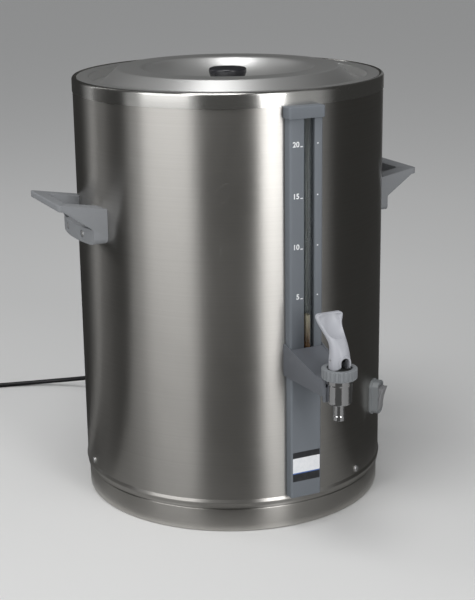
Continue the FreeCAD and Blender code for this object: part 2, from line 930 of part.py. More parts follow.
def tap_housing():
    nut_back = tap_y + nut_r
    root_y = -wall_in
    deep = root_y + 10
    far = tap_y - 40
    under = cradle_foot_z - 20
    over = nut_top_z + 20
    outer = shroud_prism(0, shroud_foot_z, shroud_rim_z, root_y)
    over_rim = across_x(
        [
            (-jacket_r, shroud_rim_z),
            (nut_back, nut_foot_z),
            (far, nut_foot_z),
            (far, over),
            (-jacket_r, over),
        ],
        -40,
        40,
    )
    back_z = trough_back_z
    end_z = nut_foot_z - trough_drop
    trough = shroud_prism(trough_rim_w, shroud_foot_z, over, root_y + 1).common(
        across_x(
            [
                (deep, back_z),
                (-jacket_r, back_z),
                (nut_back, end_z),
                (nut_back, over + 5),
                (deep, over + 5),
            ],
            -40,
            40,
        )
    )
    roof = shroud_t
    cavity = shroud_prism(shroud_t, shroud_foot_z + shroud_t, over, root_y + 1).common(
        across_x(
            [
                (deep, shroud_foot_z),
                (far, shroud_foot_z),
                (far, end_z - roof),
                (nut_back, end_z - roof),
                (-jacket_r, back_z - roof),
                (deep, back_z - roof),
            ],
            -40,
            40,
        )
    )
    collar_back = tap_y + cup_r + collar_t
    cavity = cavity.cut(box(-40, 40, far, collar_back, under, over))
    cradle = rod(shroud_nose_r, vec(0, tap_y, cradle_foot_z), vec(0, tap_y, shroud_foot_z))
    rim = [e for e in cradle.Edges if e.BoundBox.ZMax < cradle_foot_z + 0.01]
    cradle = cradle.makeFillet(2.0, rim)
    notch = box(-strip_half_w - 0.2, strip_half_w + 0.2, strip_front_y - 0.2, deep, strip_foot_z - 0.2, over)
    shell = outer.cut([over_rim, trough, cavity]).fuse(cradle)
    shell = shell.cut(
        [
            notch,
            box(-40, 40, far, tap_y + shroud_front, under, over),
            rod(tube_r + 0.3, vec(groove_x, tube_y, inlet_z), vec(groove_x, tube_y, over)),
            rod(cup_r + 0.2, vec(0, tap_y, barrel_step_z - 3), vec(0, tap_y, over)),
            rod(barrel_r + 0.2, vec(0, tap_y, under), vec(0, tap_y, barrel_step_z - 3)),
            rod(inlet_r + 0.2, vec(0, tap_y, inlet_z), vec(0, -jacket_r, inlet_z)),
        ]
    )
    return outside_body(shell, jacket_r + 0.2)


def outlet_elbow():
    leg = rod(elbow_r, vec(0, inlet_end_y - 13, inlet_z), vec(0, elbow_y, inlet_z))
    ball = Part.makeSphere(elbow_r, vec(0, elbow_y, inlet_z))
    under = tank_floor_z - tank_t
    riser = rod(elbow_r, vec(0, elbow_y, inlet_z), vec(0, elbow_y, under - elbow_flange_t))
    flange = rod(elbow_flange_r, vec(0, elbow_y, under - elbow_flange_t), vec(0, elbow_y, under))
    top = tank_floor_z + gasket_t + outlet_nut_h + 1
    thread = rod(elbow_riser_r, vec(0, elbow_y, under), vec(0, elbow_y, top))
    solid = leg.fuse([ball, riser, flange, thread]).removeSplitter()
    return solid.cut(
        [
            rod(inlet_r + 0.05, vec(0, inlet_end_y - 20, inlet_z), vec(0, inlet_end_y + 0.5, inlet_z)),
            rod(inlet_bore_r, vec(0, inlet_end_y - 20, inlet_z), vec(0, elbow_y, inlet_z)),
            Part.makeSphere(inlet_bore_r, vec(0, elbow_y, inlet_z)),
            rod(inlet_bore_r, vec(0, elbow_y, inlet_z), vec(0, elbow_y, top + 1)),
        ]
    )


def outlet_gasket():
    foot = vec(0, elbow_y, tank_floor_z)
    high = vec(0, elbow_y, tank_floor_z + gasket_t)
    return rod(elbow_flange_r - 1, foot, high).cut(rod(elbow_riser_r + 0.1, foot, high))


def outlet_nut():
    low = tank_floor_z + gasket_t
    nut = raised(hexagon(hex_flat), low, low + outlet_nut_h)
    nut = nut.cut(rod(elbow_riser_r + 0.05, vec(0, 0, low - 1), vec(0, 0, low + 20)))
    nut.translate(vec(0, elbow_y, 0))
    return nut


def tap_locknut():
    front = jacket_r - jacket_t - 0.7
    nut = raised(hexagon(hex_flat), 0, locknut_h)
    nut = nut.cut(rod(inlet_r + 0.05, vec(0, 0, -1), vec(0, 0, 20)))
    nut.rotate(vec(0, 0, 0), vec(1, 0, 0), 90)
    nut.translate(vec(0, -front + locknut_h, inlet_z))
    return nut


def handle():
    """The right handle: a base pad on the jacket, two arms and a bar to grip."""
    root = jacket_r - 35
    tip = handle_tip + 20
    low = handle_pad_foot_z - 20
    high = handle_top_z + 20
    top_in_z = handle_top_z - (handle_tip - root) * handle_slope
    arm_root = math.sqrt(handle_pad_r**2 - handle_half_w**2)
    under_tip = handle_top_z - handle_plate_t
    outline = [
        (root, handle_pad_foot_z),
        (arm_root, handle_pad_foot_z),
        (arm_root, handle_pad_top_z, 3.0),
        (handle_knee, under_tip - 1, 5.0),
        (handle_tip, under_tip, 1.5),
        (handle_tip, handle_top_z, 1.5),
        (root, top_in_z),
    ]
    block = across_y(outline, -handle_half_w, handle_half_w)
    pad = rod(handle_pad_r, vec(0, 0, handle_pad_foot_z), vec(0, 0, handle_pad_top_z))
    pad = pad.common(box(root, tip, -handle_half_w, handle_half_w, low, high))
    solid = block.fuse(pad).removeSplitter()
    plan = raised(
        [
            (root - 10, -handle_half_w),
            (handle_tip, -handle_half_w, handle_corner_r),
            (handle_tip, handle_half_w, handle_corner_r),
            (root - 10, handle_half_w),
        ],
        low,
        high,
    )
    lower = across_x(
        [
            (-handle_half_w, handle_pad_foot_z, 7.0),
            (handle_half_w, handle_pad_foot_z, 7.0),
            (handle_half_w, high),
            (-handle_half_w, high),
        ],
        root - 10,
        tip,
    )
    solid = solid.common(plan).common(lower)
    opening = raised(
        [
            (root - 10, -finger_half_w),
            (handle_bar_in, -finger_half_w, 5.0),
            (handle_bar_in, finger_half_w, 5.0),
            (root - 10, finger_half_w),
        ],
        handle_pad_top_z,
        high,
    )
    cuts = [opening]
    for y in (-handle_screw_y, handle_screw_y):
        cuts.append(handle_screw_hole(handle_screw_r + 0.2, root, y))
        cuts.append(handle_screw_hole(handle_screw_head_r + 0.4, handle_head_x(), y))
    return outside_body(solid.cut(cuts), jacket_r + 0.2)


def handle_screw_hole(radius, start, y):
    return rod(radius, vec(start, y, handle_screw_z), vec(handle_tip + 10, y, handle_screw_z))


def handle_head_x():
    return math.sqrt(handle_pad_r**2 - handle_screw_y**2) - 2.2


def mirrored(shape):
    return shape.mirror(vec(0, 0, 0), vec(1, 0, 0))


def handle_screws():
    inner = jacket_r - jacket_t - 3.2
    screws = []
    for y in (-handle_screw_y, handle_screw_y):
        reach = handle_head_x() - inner
        screw = turned(
            [
                (0, 0),
                (handle_screw_r, 0),
                (handle_screw_r, reach),
                (handle_screw_head_r, reach),
                (handle_screw_head_r, reach + 2.2, 1.4),
                (0, reach + 2.2),
            ]
        )
        screw.rotate(vec(0, 0, 0), vec(0, 1, 0), 90)
        screw.translate(vec(inner, y, handle_screw_z))
        screws += [screw, mirrored(screw)]
    return screws


def handle_backplates():
    outer = jacket_r - jacket_t - 0.1
    low = handle_pad_foot_z - 10
    high = handle_pad_top_z + 10
    plate = rod(outer, vec(0, 0, handle_pad_foot_z), vec(0, 0, handle_pad_top_z))
    plate = plate.cut(rod(outer - backplate_t, vec(0, 0, low), vec(0, 0, high)))
    plate = plate.common(box(wall_in - 20, wall_out, -backplate_half_w, backplate_half_w, low, high))
    for y in (-handle_screw_y, handle_screw_y):
        plate = plate.cut(handle_screw_hole(handle_screw_r + stem_fit, wall_in - 20, y))
    return [plate, mirrored(plate)]


def switch_plate(inset, proud):
    """Plate of the switch with sloping shoulders, standing proud of the jacket."""
    half_w = switch_half_w - inset
    side_h = switch_side_half_h - inset * 0.6
    half_h = switch_half_h - inset
    flat = switch_half_w - switch_shoulder - inset * 0.4
    outline = []
    for a, b, radius in (
        (-half_w, -side_h, 2.5),
        (-flat, -half_h, 4.0),
        (flat, -half_h, 4.0),
        (half_w, -side_h, 2.5),
        (half_w, side_h, 2.5),
        (flat, half_h, 4.0),
        (-flat, half_h, 4.0),
        (-half_w, side_h, 2.5),
    ):
        outline.append((a, switch_z + b, radius))
    return across_y(outline, -jacket_r - proud, -wall_in)


def rocker_pins(radius, reach):
    pivot_y = -jacket_r - rocker_pivot_proud
    return rod(radius, vec(-reach, pivot_y, switch_z), vec(reach, pivot_y, switch_z))


def switch_housing():
    plate = switch_plate(0, switch_step).fuse(switch_plate(switch_inset, switch_proud))
    bezel = outside_body(plate.removeSplitter(), jacket_r + 0.1)
    in_w = pocket_half_w + 0.8
    in_h = pocket_half_h + 0.8
    rear = box(-in_w, in_w, -jacket_r - 1, -jacket_r + 28, switch_z - in_h, switch_z + in_h)
    body = bezel.fuse(rear).removeSplitter()
    front = -jacket_r - 30
    pocket = box(
        -pocket_half_w,
        pocket_half_w,
        front,
        -jacket_r + 14,
        switch_z - pocket_half_h,
        switch_z + pocket_half_h,
    )
    pins = rocker_pins(rocker_pin_r + stem_fit, rocker_pin_reach + 0.1)
    return around(body.cut([pocket, pins]), switch_angle)


def switch_rocker():
    pivot_y = -jacket_r - rocker_pivot_proud
    face_y = pivot_y - rocker_face
    corner_r = math.hypot(rocker_face, rocker_half_h)
    drum = rod(corner_r, vec(-rocker_half_w, pivot_y, switch_z), vec(rocker_half_w, pivot_y, switch_z))
    slab = across_x(
        [
            (face_y, switch_z - rocker_half_h),
            (face_y + 1.2, switch_z, 60.0),
            (face_y, switch_z + rocker_half_h),
            (pivot_y + 12, switch_z + 12),
            (pivot_y + 12, switch_z - 12),
        ],
        -rocker_half_w,
        rocker_half_w,
    )
    grooves = []
    for depth in rocker_grooves:
        low = face_y + depth
        high = low + rocker_groove_w
        wide = rocker_half_w - rocker_groove_d
        tall = rocker_half_h - rocker_groove_d
        core = box(-wide, wide, low, high, switch_z - tall, switch_z + tall)
        grooves.append(box(-20, 20, low, high, switch_z - 30, switch_z + 30).cut(core))
    rocker = drum.common(slab).cut(grooves)
    pins = rocker_pins(rocker_pin_r, rocker_pin_reach)
    rocker = rocker.fuse(pins).removeSplitter()
    rocker.rotate(vec(0, pivot_y, switch_z), vec(1, 0, 0), rocker_tilt)
    return around(rocker, switch_angle)


def heater_plate():
    top = tank_floor_z - tank_t
    return turned(
        [
            (0, top - heater_plate_t),
            (heater_plate_r, top - heater_plate_t, 1.0),
            (heater_plate_r, top),
            (0, top),
        ]
    )


def element_z():
    return tank_floor_z - tank_t - heater_plate_t - element_tube_r - 0.1


def heating_element():
    """Open ring under the plate whose two ends bend down."""
    z = element_z()
    half = math.radians(element_gap_deg / 2)
    ends = []
    for sign in (1, -1):
        angle = math.pi / 2 + sign * half
        out = vec(math.cos(angle), math.sin(angle), 0)
        way = vec(-math.sin(angle), math.cos(angle), 0) * -sign
        start = out * element_r + vec(0, 0, z)
        down = vec(0, 0, -1)
        corner = start + way * element_bend_r
        middle = corner + (way * -1 + down).normalize() * (element_bend_r * (math.sqrt(2) - 1))
        end = corner + down * element_bend_r
        ends.append((start, middle, end, end + down * element_tail))
    a, b = ends
    edges = [
        Part.LineSegment(a[3], a[2]).toShape(),
        Part.Arc(a[2], a[1], a[0]).toShape(),
        Part.Arc(a[0], vec(0, -element_r, z), b[0]).toShape(),
        Part.Arc(b[0], b[1], b[2]).toShape(),
        Part.LineSegment(b[2], b[3]).toShape(),
    ]
    tube = tube_along(edges, element_tube_r)
    tabs = []
    for end in (a, b):
        foot = end[3]
        tabs.append(rod(1.5, foot, foot + vec(0, 0, -8)))
    return tube.fuse(tabs).removeSplitter()


def plate_switch(spot):
    """Round thermal switch that seats on the underside of the heater plate, with two blades."""
    top = tank_floor_z - tank_t - heater_plate_t
    can = turned(
        [
            (0, top - stat_h),
            (stat_r - 1.5, top - stat_h, 0.8),
            (stat_r - 1.5, top - 3.0),
            (stat_r, top - 3.0),
            (stat_r, top),
            (0, top),
        ],
        *spot,
    )
    blades = []
    for side in (-1, 1):
        x = spot[0] + side * 4.5
        blades.append(box(x - 0.4, x + 0.4, spot[1] - 3, spot[1] + 3, top - stat_h - 8, top - stat_h + 1))
    return can.fuse(blades).removeSplitter()


def terminal_block():
    w, d, h = block_size
    x, y = block_spot
    z = pan_rise + pan_t
    block = box(x - w / 2, x + w / 2, y - d / 2, y + d / 2, z, z + h)
    cuts = []
    for i in (-1, 0, 1):
        cx = x + i * 10.5
        cuts.append(rod(2.6, vec(cx, y - d, z + 6), vec(cx, y + d, z + 6)))
        for side in (-1, 1):
            cuts.append(rod(2.2, vec(cx, y + side * 6, z + 6), vec(cx, y + side * 6, z + h + 1)))
    return block.cut(cuts)


def earth_stud():
    x, y = earth_spot
    z = pan_rise
    return turned(
        [
            (0, z - 2.4),
            (3.8, z - 2.4, 0.8),
            (3.8, z),
            (2.0, z),
            (2.0, z + pan_t),
            (4.2, z + pan_t),
            (4.2, z + pan_t + 3.2),
            (2.0, z + pan_t + 3.2),
            (2.0, z + 14),
            (0, z + 14),
        ],
        x,
        y,
    )


def cord_gland():
    face = jacket_r + 0.2
    inner = jacket_r - 7.0
    reach = gland_hole_r() - 0.2
    gland = turned(
        [
            (0, inner),
            (reach, inner, 1.0),
            (reach, face),
            (gland_flange_r, face),
            (gland_flange_r, face + gland_flange_t, 1.5),
            (cord_r + 3.4, face + gland_flange_t, 1.5),
            (cord_r + 1.4, gland_tip_y, 0.6),
            (0, gland_tip_y),
        ]
    )
    rings = []
    for i in range(4):
        y = face + gland_flange_t + 6.0 + i * 6.5
        rings.append(turned([(cord_r + 1.3, y), (20, y), (20, y + 2.0), (cord_r + 1.3, y + 2.0)]))
    gland = gland.cut(rings)
    gland.rotate(vec(0, 0, 0), vec(1, 0, 0), -90)
    gland.translate(vec(0, 0, gland_z))
    return gland


def cord_lead():
    return tube_along(bent_route(cord_route, "lead"), cord_r)


def coil_slant():
    """Angle by which the first turn leaves a circle."""
    return math.atan(coil_pitch / (2 * math.pi * coil_r))


def coil_centre():
    entry = vec(*cord_route[-1])
    slant = coil_slant()
    return entry + vec(-2 * cord_r - coil_r * math.sin(slant), coil_r * math.cos(slant), 0)


def coil_place(t):
    """Point of the coil after t turns: in on the lower layer, up, and out on the upper one."""
    middle = coil_turns() / 2
    angle = -math.pi / 2 + coil_slant() - 2 * math.pi * t
    radius = coil_r - coil_pitch * (middle - abs(t - middle))
    share = min(max((t - middle) / coil_climb + 0.5, 0), 1)
    rise = coil_pitch * share * share * (3 - 2 * share)
    return coil_centre() + vec(radius * math.cos(angle), radius * math.sin(angle), rise)


def coil_turns():
    return coil_loops + coil_slant() / math.pi


def cord_coil():
    edges, first_way, last_way = winding(coil_place, coil_turns())
    start = coil_place(0)
    end = coil_place(coil_turns())
    edges.insert(0, Part.LineSegment(vec(*cord_route[-1]), start).toShape())
    edges.append(Part.LineSegment(end, coil_end()).toShape())
    length = sum(e.Length for e in edges)
    points = [coil_place(coil_turns() * i / 600) for i in range(601)]
    skip = round(600 / coil_turns() / 3)
    least = min(
        a.distanceToPoint(b) - 2 * cord_r for i, a in enumerate(points) for b in points[i + skip:]
    )
    tube = tube_along(edges, cord_r)
    share = tube.Volume / (math.pi * cord_r**2 * length)
    print("coil length", round(length, 1), "least gap", round(least, 2), "volume share", round(share, 4))
    return tube


def coil_end():
    return coil_place(coil_turns()) + vec(-2 * cord_r, 0, 0)


def tail_route():
    points = [coil_end()]
    for run, rise in tail_steps:
        points.append(points[-1] + vec(-run, 0, rise))
    points.append(points[-1] + vec(-2 * cord_r - 8, 0, 0))
    return points


def cord_tail():
    return tube_along(bent_route([tuple(p) for p in tail_route()], "tail"), cord_r)


def cord_tie():
    """Flat strap round all the turns on the far side of the coil."""
    centre = coil_centre()
    inner_r = coil_r - coil_pitch * coil_loops / 2 - cord_r - 1.0
    outer_r = coil_r + cord_r + 1.0
    low = 0.0
    high = coil_z + coil_pitch + cord_r + 0.3 + tie_t
    outline = [
        (inner_r - tie_t, low, 4.0),
        (outer_r + tie_t, low, 4.0),
        (outer_r + tie_t, high, 4.0),
        (inner_r - tie_t, high, 4.0),
    ]
    hole = [
        (inner_r, low + tie_t, 3.2),
        (outer_r, low + tie_t, 3.2),
        (outer_r, high - tie_t, 3.2),
        (inner_r, high - tie_t, 3.2),
    ]
    band = across_y(outline, -tie_w / 2, tie_w / 2).cut(across_y(hole, -tie_w, tie_w))
    band.rotate(vec(0, 0, 0), vec(0, 0, 1), 70)
    band.translate(vec(centre.x, centre.y, 0))
    return band


def plug_place(shape):
    """Lays a plug that was drawn along +Z from its cord end onto its place."""
    end = tail_route()[-1]
    shape.rotate(vec(0, 0, 0), vec(0, 1, 0), -90)
    shape.translate(end)
    return shape


def power_plug():
    face_z = plug_relief_l + plug_l
    body = turned(
        [
            (0, 0),
            (cord_r + 1.2, 0, 0.6),
            (cord_r + 2.6, plug_relief_l),
            (12.0, plug_relief_l + 3, 3.0),
            (13.5, face_z - plug_face_t - 4, 3.0),
            (plug_lie_r(), face_z - plug_face_t, 1.5),
            (plug_lie_r(), face_z, 1.0),
            (0, face_z),
        ]
    )
    for side in (-1, 1):
        y = side * plug_pin_gap / 2
        body = body.cut(rod(plug_pin_r + stem_fit, vec(0, y, face_z - 8), vec(0, y, face_z + 1)))
    return plug_place(body)


def plug_lie_r():
    """Radius of the plug's front flange, which rests on the floor."""
    return min(plug_r, tail_route()[-1].z)


def plug_pins():
    face_z = plug_relief_l + plug_l
    pins = []
    for side in (-1, 1):
        y = side * plug_pin_gap / 2
        pin = turned(
            [
                (0, face_z - 7.9),
                (plug_pin_r, face_z - 7.9),
                (plug_pin_r, face_z + plug_pin_l, 1.5),
                (0, face_z + plug_pin_l),
            ],
            0,
            y,
        )
        pins.append(plug_place(pin))
    return pins


parts = {
    "outer_jacket": outer_jacket,
    "top_band": top_band,
    "inner_tank": inner_tank,
    "insulation": insulation,
    "base_pan": base_pan,
    "base_screws": base_screws,
    "lid_pan": lid_pan,
    "lid_knob": lid_knob,
    "knob_screw": knob_screw,
    "gauge_strip": gauge_strip,
    "lower_strip": lower_strip,
    "gauge_cap": gauge_cap,
    "sight_tube": sight_tube,
    "tube_seals": tube_seals,
    "tap_body": tap_body,
    "tap_nut": tap_nut,
    "tap_bonnet": tap_bonnet,
    "valve_stem": valve_stem,
    "seat_cup": seat_cup,
    "valve_spring": valve_spring,
    "lever_pin": lever_pin,
    "tap_lever": tap_lever,
    "tap_housing": tap_housing,
    "outlet_elbow": outlet_elbow,
    "outlet_gasket": outlet_gasket,
    "outlet_nut": outlet_nut,
    "tap_locknut": tap_locknut,
    "right_handle": handle,
    "left_handle": lambda: mirrored(handle()),
    "handle_screws": handle_screws,
    "handle_backplates": handle_backplates,
    "switch_housing": switch_housing,
    "switch_rocker": switch_rocker,
    "heater_plate": heater_plate,
    "heating_element": heating_element,
    "thermostat": lambda: plate_switch(stat_spot),
    "boil_dry_cutout": lambda: plate_switch(cutout_spot),
    "terminal_block": terminal_block,
    "earth_stud": earth_stud,
    "cord_gland": cord_gland,
    "cord_lead": cord_lead,
    "cord_coil": cord_coil,
    "cord_tail": cord_tail,
    "cord_tie": cord_tie,
    "power_plug": power_plug,
    "plug_pins": plug_pins,
}

os.makedirs("parts", exist_ok=True)
for name, make in parts.items():
    made = make()
    solids = made if isinstance(made, list) else made.Solids
    shape = solids[0] if len(solids) == 1 else Part.makeCompound(solids)
    box_of = shape.BoundBox
    print(name, len(solids), "valid" if shape.isValid() else "NOT VALID", round(shape.Volume), box_of)
    shape.exportStep(f"parts/{name}.step")
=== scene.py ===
import logging
import math
from dataclasses import dataclass
from enum import Enum
from typing import Callable, Iterable, Sequence

import bmesh
import bpy
from mathutils import Matrix, Vector


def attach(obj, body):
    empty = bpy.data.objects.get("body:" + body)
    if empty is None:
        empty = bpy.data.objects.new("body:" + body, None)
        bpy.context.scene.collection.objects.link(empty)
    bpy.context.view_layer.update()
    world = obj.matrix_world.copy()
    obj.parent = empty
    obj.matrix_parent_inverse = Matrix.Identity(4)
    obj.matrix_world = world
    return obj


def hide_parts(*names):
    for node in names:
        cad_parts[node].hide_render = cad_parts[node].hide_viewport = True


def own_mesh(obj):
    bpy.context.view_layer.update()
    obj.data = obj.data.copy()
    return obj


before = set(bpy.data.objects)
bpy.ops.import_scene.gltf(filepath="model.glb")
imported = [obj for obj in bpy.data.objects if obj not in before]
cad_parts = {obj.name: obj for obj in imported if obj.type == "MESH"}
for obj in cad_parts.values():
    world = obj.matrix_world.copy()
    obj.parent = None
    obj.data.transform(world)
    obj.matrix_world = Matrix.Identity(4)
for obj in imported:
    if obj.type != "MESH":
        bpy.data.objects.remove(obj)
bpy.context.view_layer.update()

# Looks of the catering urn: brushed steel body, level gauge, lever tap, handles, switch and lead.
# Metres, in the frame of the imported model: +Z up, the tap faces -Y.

log = logging.getLogger("urn")

Corner = tuple[float, ...]
Colour = tuple[float, float, float]
Inputs = dict[str | int, object]
Mesh = bmesh.types.BMesh
Node = bpy.types.Node
Socket = bpy.types.NodeSocket
Tree = bpy.types.NodeTree

ROUND_STEPS = 320
BORE_STEPS = 48
UPRIGHT_BRUSH_TURN = 0.25
DUST_COLOUR = (0.55, 0.54, 0.52)


class GrainWay(Enum):
    """How the brushing of a steel face runs."""

    AROUND = "around"
    PLAIN = "plain"


class Body(Enum):
    """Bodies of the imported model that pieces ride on."""

    URN = "urn"
    LID = "lid"
    STEM = "stem"
    LEVER = "lever"
    ROCKER = "rocker"


class Wiring:
    """Builds and joins the nodes of one material or node group."""

    def __init__(self, tree: Tree) -> None:
        """Keeps the tree that the nodes go into."""
        self.tree = tree

    def feed(self, node: Node, inputs: Inputs) -> Node:
        """Sets inputs of a node, each to a value or to another node's output."""
        for key, value in inputs.items():
            socket = node.inputs[key]
            if isinstance(value, Socket):
                self.tree.links.new(value, socket)
            else:
                socket.default_value = value
        return node

    def node(self, kind: str, inputs: Inputs | None = None, **settings: object) -> Node:
        """Adds a node.

        Args:
            kind: Blender's type name of the node.
            inputs: values or output sockets, by input name or index.
            settings: properties of the node itself.

        Returns:
            The new node.
        """
        made = self.tree.nodes.new(kind)
        for key, value in settings.items():
            setattr(made, key, value)
        return self.feed(made, inputs or {})

    def math(self, operation: str, *values: object) -> Socket:
        """Result of a Math node on the given values."""
        return self.node("ShaderNodeMath", dict(enumerate(values)), operation=operation).outputs[0]

    def vector(self, operation: str, *values: object) -> Socket:
        """Result of a Vector Math node on the given values."""
        made = self.node("ShaderNodeVectorMath", dict(enumerate(values)), operation=operation)
        return made.outputs["Value" if operation == "LENGTH" else "Vector"]

    def blend(self, share: object, first: object, second: object) -> Socket:
        """Colour mixed from two others by a share."""
        ends = [end if isinstance(end, Socket) else (*end, 1.0) for end in (first, second)]
        return self.node("ShaderNodeMix", {0: share, 6: ends[0], 7: ends[1]}, data_type="RGBA").outputs[2]

    def ramp(self, value: Socket, low: float, high: float) -> Socket:
        """Value stretched so that low gives 0 and high gives 1, clamped."""
        return self.node("ShaderNodeMapRange", {"Value": value, "From Min": low, "From Max": high}).outputs[0]

    def noise(self, place: Socket, scale: object, detail: float, **inputs: object) -> Socket:
        """Cloudy value at a place."""
        inputs.update({"Vector": place, "Scale": scale, "Detail": detail})
        return self.node("ShaderNodeTexNoise", inputs).outputs[0]

    def bump(self, height: Socket, strength: float, distance: float) -> Socket:
        """Normal bent by a height."""
        inputs = {"Strength": strength, "Distance": distance, "Height": height}
        return self.node("ShaderNodeBump", inputs).outputs[0]

    def place(self) -> Socket:
        """Place on the object, in its own coordinates."""
        return self.node("ShaderNodeTexCoord").outputs["Object"]


def new_material(name: str) -> tuple[bpy.types.Material, Wiring]:
    """Material without nodes, and the wiring of its tree."""
    made = bpy.data.materials.new(name)
    made.use_nodes = True
    made.node_tree.nodes.clear()
    return made, Wiring(made.node_tree)


def make_group(
    name: str,
    inputs: dict[str, float | None],
    outputs: Sequence[str],
    fill: Callable[[Wiring, Sequence[Socket]], Sequence[Socket]],
) -> Tree:
    """Shader node group, built once and then reused.

    Args:
        name: name of the group.
        inputs: default of each float input by its name, or None for a vector.
        outputs: names of the float outputs.
        fill: makes the inner nodes from the input sockets and returns one socket per output.

    Returns:
        The group.
    """
    if name in bpy.data.node_groups:
        return bpy.data.node_groups[name]
    tree = bpy.data.node_groups.new(name, "ShaderNodeTree")
    for label, value in inputs.items():
        kind = "NodeSocketVector" if value is None else "NodeSocketFloat"
        socket = tree.interface.new_socket(label, in_out="INPUT", socket_type=kind)
        if value is not None:
            socket.default_value = value
    for label in outputs:
        tree.interface.new_socket(label, in_out="OUTPUT", socket_type="NodeSocketFloat")
    wiring = Wiring(tree)
    entry = wiring.node("NodeGroupInput")
    results = fill(wiring, entry.outputs[: len(inputs)])
    wiring.node("NodeGroupOutput", dict(enumerate(results)))
    return tree


def grain_lines() -> Tree:
    """Group: fine parallel lines, long around the body and close together along its height."""

    def fill(w: Wiring, given: Sequence[Socket]) -> Sequence[Socket]:
        place, along, across = given
        stretch = w.node("ShaderNodeCombineXYZ", {0: along, 1: along, 2: across})
        drawn = w.vector("MULTIPLY", place, stretch.outputs[0])
        fine = w.noise(drawn, 1.0, 3.0, Roughness=0.6)
        wide = w.noise(drawn, 0.13, 3.0)
        both = w.math("MULTIPLY_ADD", wide, 0.4, w.math("MULTIPLY", fine, 0.6))
        return [w.ramp(both, 0.3, 0.7)]

    return make_group("grain_lines", {"Vector": None, "Along": 6.0, "Across": 900.0}, ["Lines"], fill)


def smudges() -> Tree:
    """Group: broad soft patches where a surface has been handled or wiped."""

    def fill(w: Wiring, given: Sequence[Socket]) -> Sequence[Socket]:
        place, scale = given
        return [w.ramp(w.noise(place, scale, 4.0, Roughness=0.6, Distortion=0.6), 0.42, 0.72)]

    return make_group("smudges", {"Vector": None, "Scale": 9.0}, ["Mask"], fill)


def scratches() -> Tree:
    """Group: sparse hair-fine marks in uneven directions."""

    def fill(w: Wiring, given: Sequence[Socket]) -> Sequence[Socket]:
        place, scale = given
        warp = w.node("ShaderNodeTexNoise", {"Vector": place, "Scale": 14.0, "Detail": 2.0})
        bent = w.vector("MULTIPLY_ADD", warp.outputs["Color"], (0.05, 0.05, 0.05), place)
        cells = w.node("ShaderNodeTexVoronoi", {"Vector": bent, "Scale": scale}, feature="DISTANCE_TO_EDGE")
        line = w.ramp(cells.outputs["Distance"], 0.005, 0.0)
        return [w.math("MULTIPLY", line, w.ramp(w.noise(place, 31.0, 1.0), 0.62, 0.72))]

    return make_group("scratches", {"Vector": None, "Scale": 24.0}, ["Mask"], fill)


def moulded_grain() -> Tree:
    """Group: the fine pitted skin of moulded plastic."""

    def fill(w: Wiring, given: Sequence[Socket]) -> Sequence[Socket]:
        place, scale = given
        return [w.noise(place, scale, 3.0), w.noise(place, 40.0, 2.0)]

    return make_group("moulded_grain", {"Vector": None, "Scale": 1800.0}, ["Pits", "Flow"], fill)


def settled_dust() -> Tree:
    """Group: thin dust on faces that look up."""

    def fill(w: Wiring, given: Sequence[Socket]) -> Sequence[Socket]:
        place, normal = given
        flat = w.ramp(w.node("ShaderNodeSeparateXYZ", {0: normal}).outputs[2], 0.5, 1.0)
        specks = w.noise(place, 420.0, 6.0, Roughness=0.8)
        return [w.math("MULTIPLY", flat, w.ramp(specks, 0.45, 0.75))]

    return make_group("settled_dust", {"Vector": None, "Normal": None}, ["Mask"], fill)


class Finish:
    """Base of the finishes: makes its material once."""

    name: str

    def material(self) -> bpy.types.Material:
        """The finish's material, made on first use."""
        if self.name in bpy.data.materials:
            return bpy.data.materials[self.name]
        made, wiring = new_material(self.name)
        surface = wiring.node("ShaderNodeBsdfPrincipled")
        wiring.node("ShaderNodeOutputMaterial", {0: surface.outputs[0]})
        self.paint(wiring, surface, wiring.place())
        return made

    def paint(self, w: Wiring, surface: Node, place: Socket) -> None:
        """Wires the finish into the surface shader."""
        raise NotImplementedError

    @staticmethod
    def group(w: Wiring, tree: Tree, place: Socket, **inputs: object) -> Sequence[Socket]:
        """Outputs of a node group at the object's own coordinates."""
        return w.node("ShaderNodeGroup", {0: place, **inputs}, node_tree=tree).outputs


@dataclass(frozen=True)
class Steel(Finish):
    """Brushed or spun stainless steel."""

    name: str
    colour: Colour = (0.56, 0.545, 0.52)
    shade: Colour = (0.48, 0.465, 0.44)
    roughness: float = 0.31
    spread: float = 0.06
    anisotropic: float = 0.88
    along: float = 3.0
    across: float = 2400.0
    relief: float = 0.03
    way: GrainWay = GrainWay.AROUND

    def paint(self, w: Wiring, surface: Node, place: Socket) -> None:
        """Steel with lines of brushing, wiped patches and a few hair marks."""
        lines = self.group(w, grain_lines(), place, Along=self.along, Across=self.across)[0]
        patches = self.group(w, smudges(), place, Scale=7.0)[0]
        marks = self.group(w, scratches(), place, Scale=20.0)[0]
        tint = w.math("MULTIPLY_ADD", patches, 0.35, w.math("MULTIPLY", lines, 0.65))
        rough = w.math("MULTIPLY_ADD", lines, self.spread, self.roughness - self.spread / 2)
        rough = w.math("MULTIPLY_ADD", patches, 0.05, rough)
        rough = w.math("MULTIPLY_ADD", marks, 0.12, rough)
        inputs = {
            "Metallic": 1.0,
            "Base Color": w.blend(tint, self.colour, self.shade),
            "Roughness": rough,
            "Normal": w.bump(w.math("MULTIPLY_ADD", marks, -0.25, lines), self.relief, 0.0004),
        }
        if self.way is GrainWay.AROUND:
            inputs["Anisotropic"] = self.anisotropic
            inputs["Anisotropic Rotation"] = UPRIGHT_BRUSH_TURN
            inputs["Tangent"] = w.node("ShaderNodeTangent", direction_type="RADIAL", axis="Z").outputs[0]
        w.feed(surface, inputs)


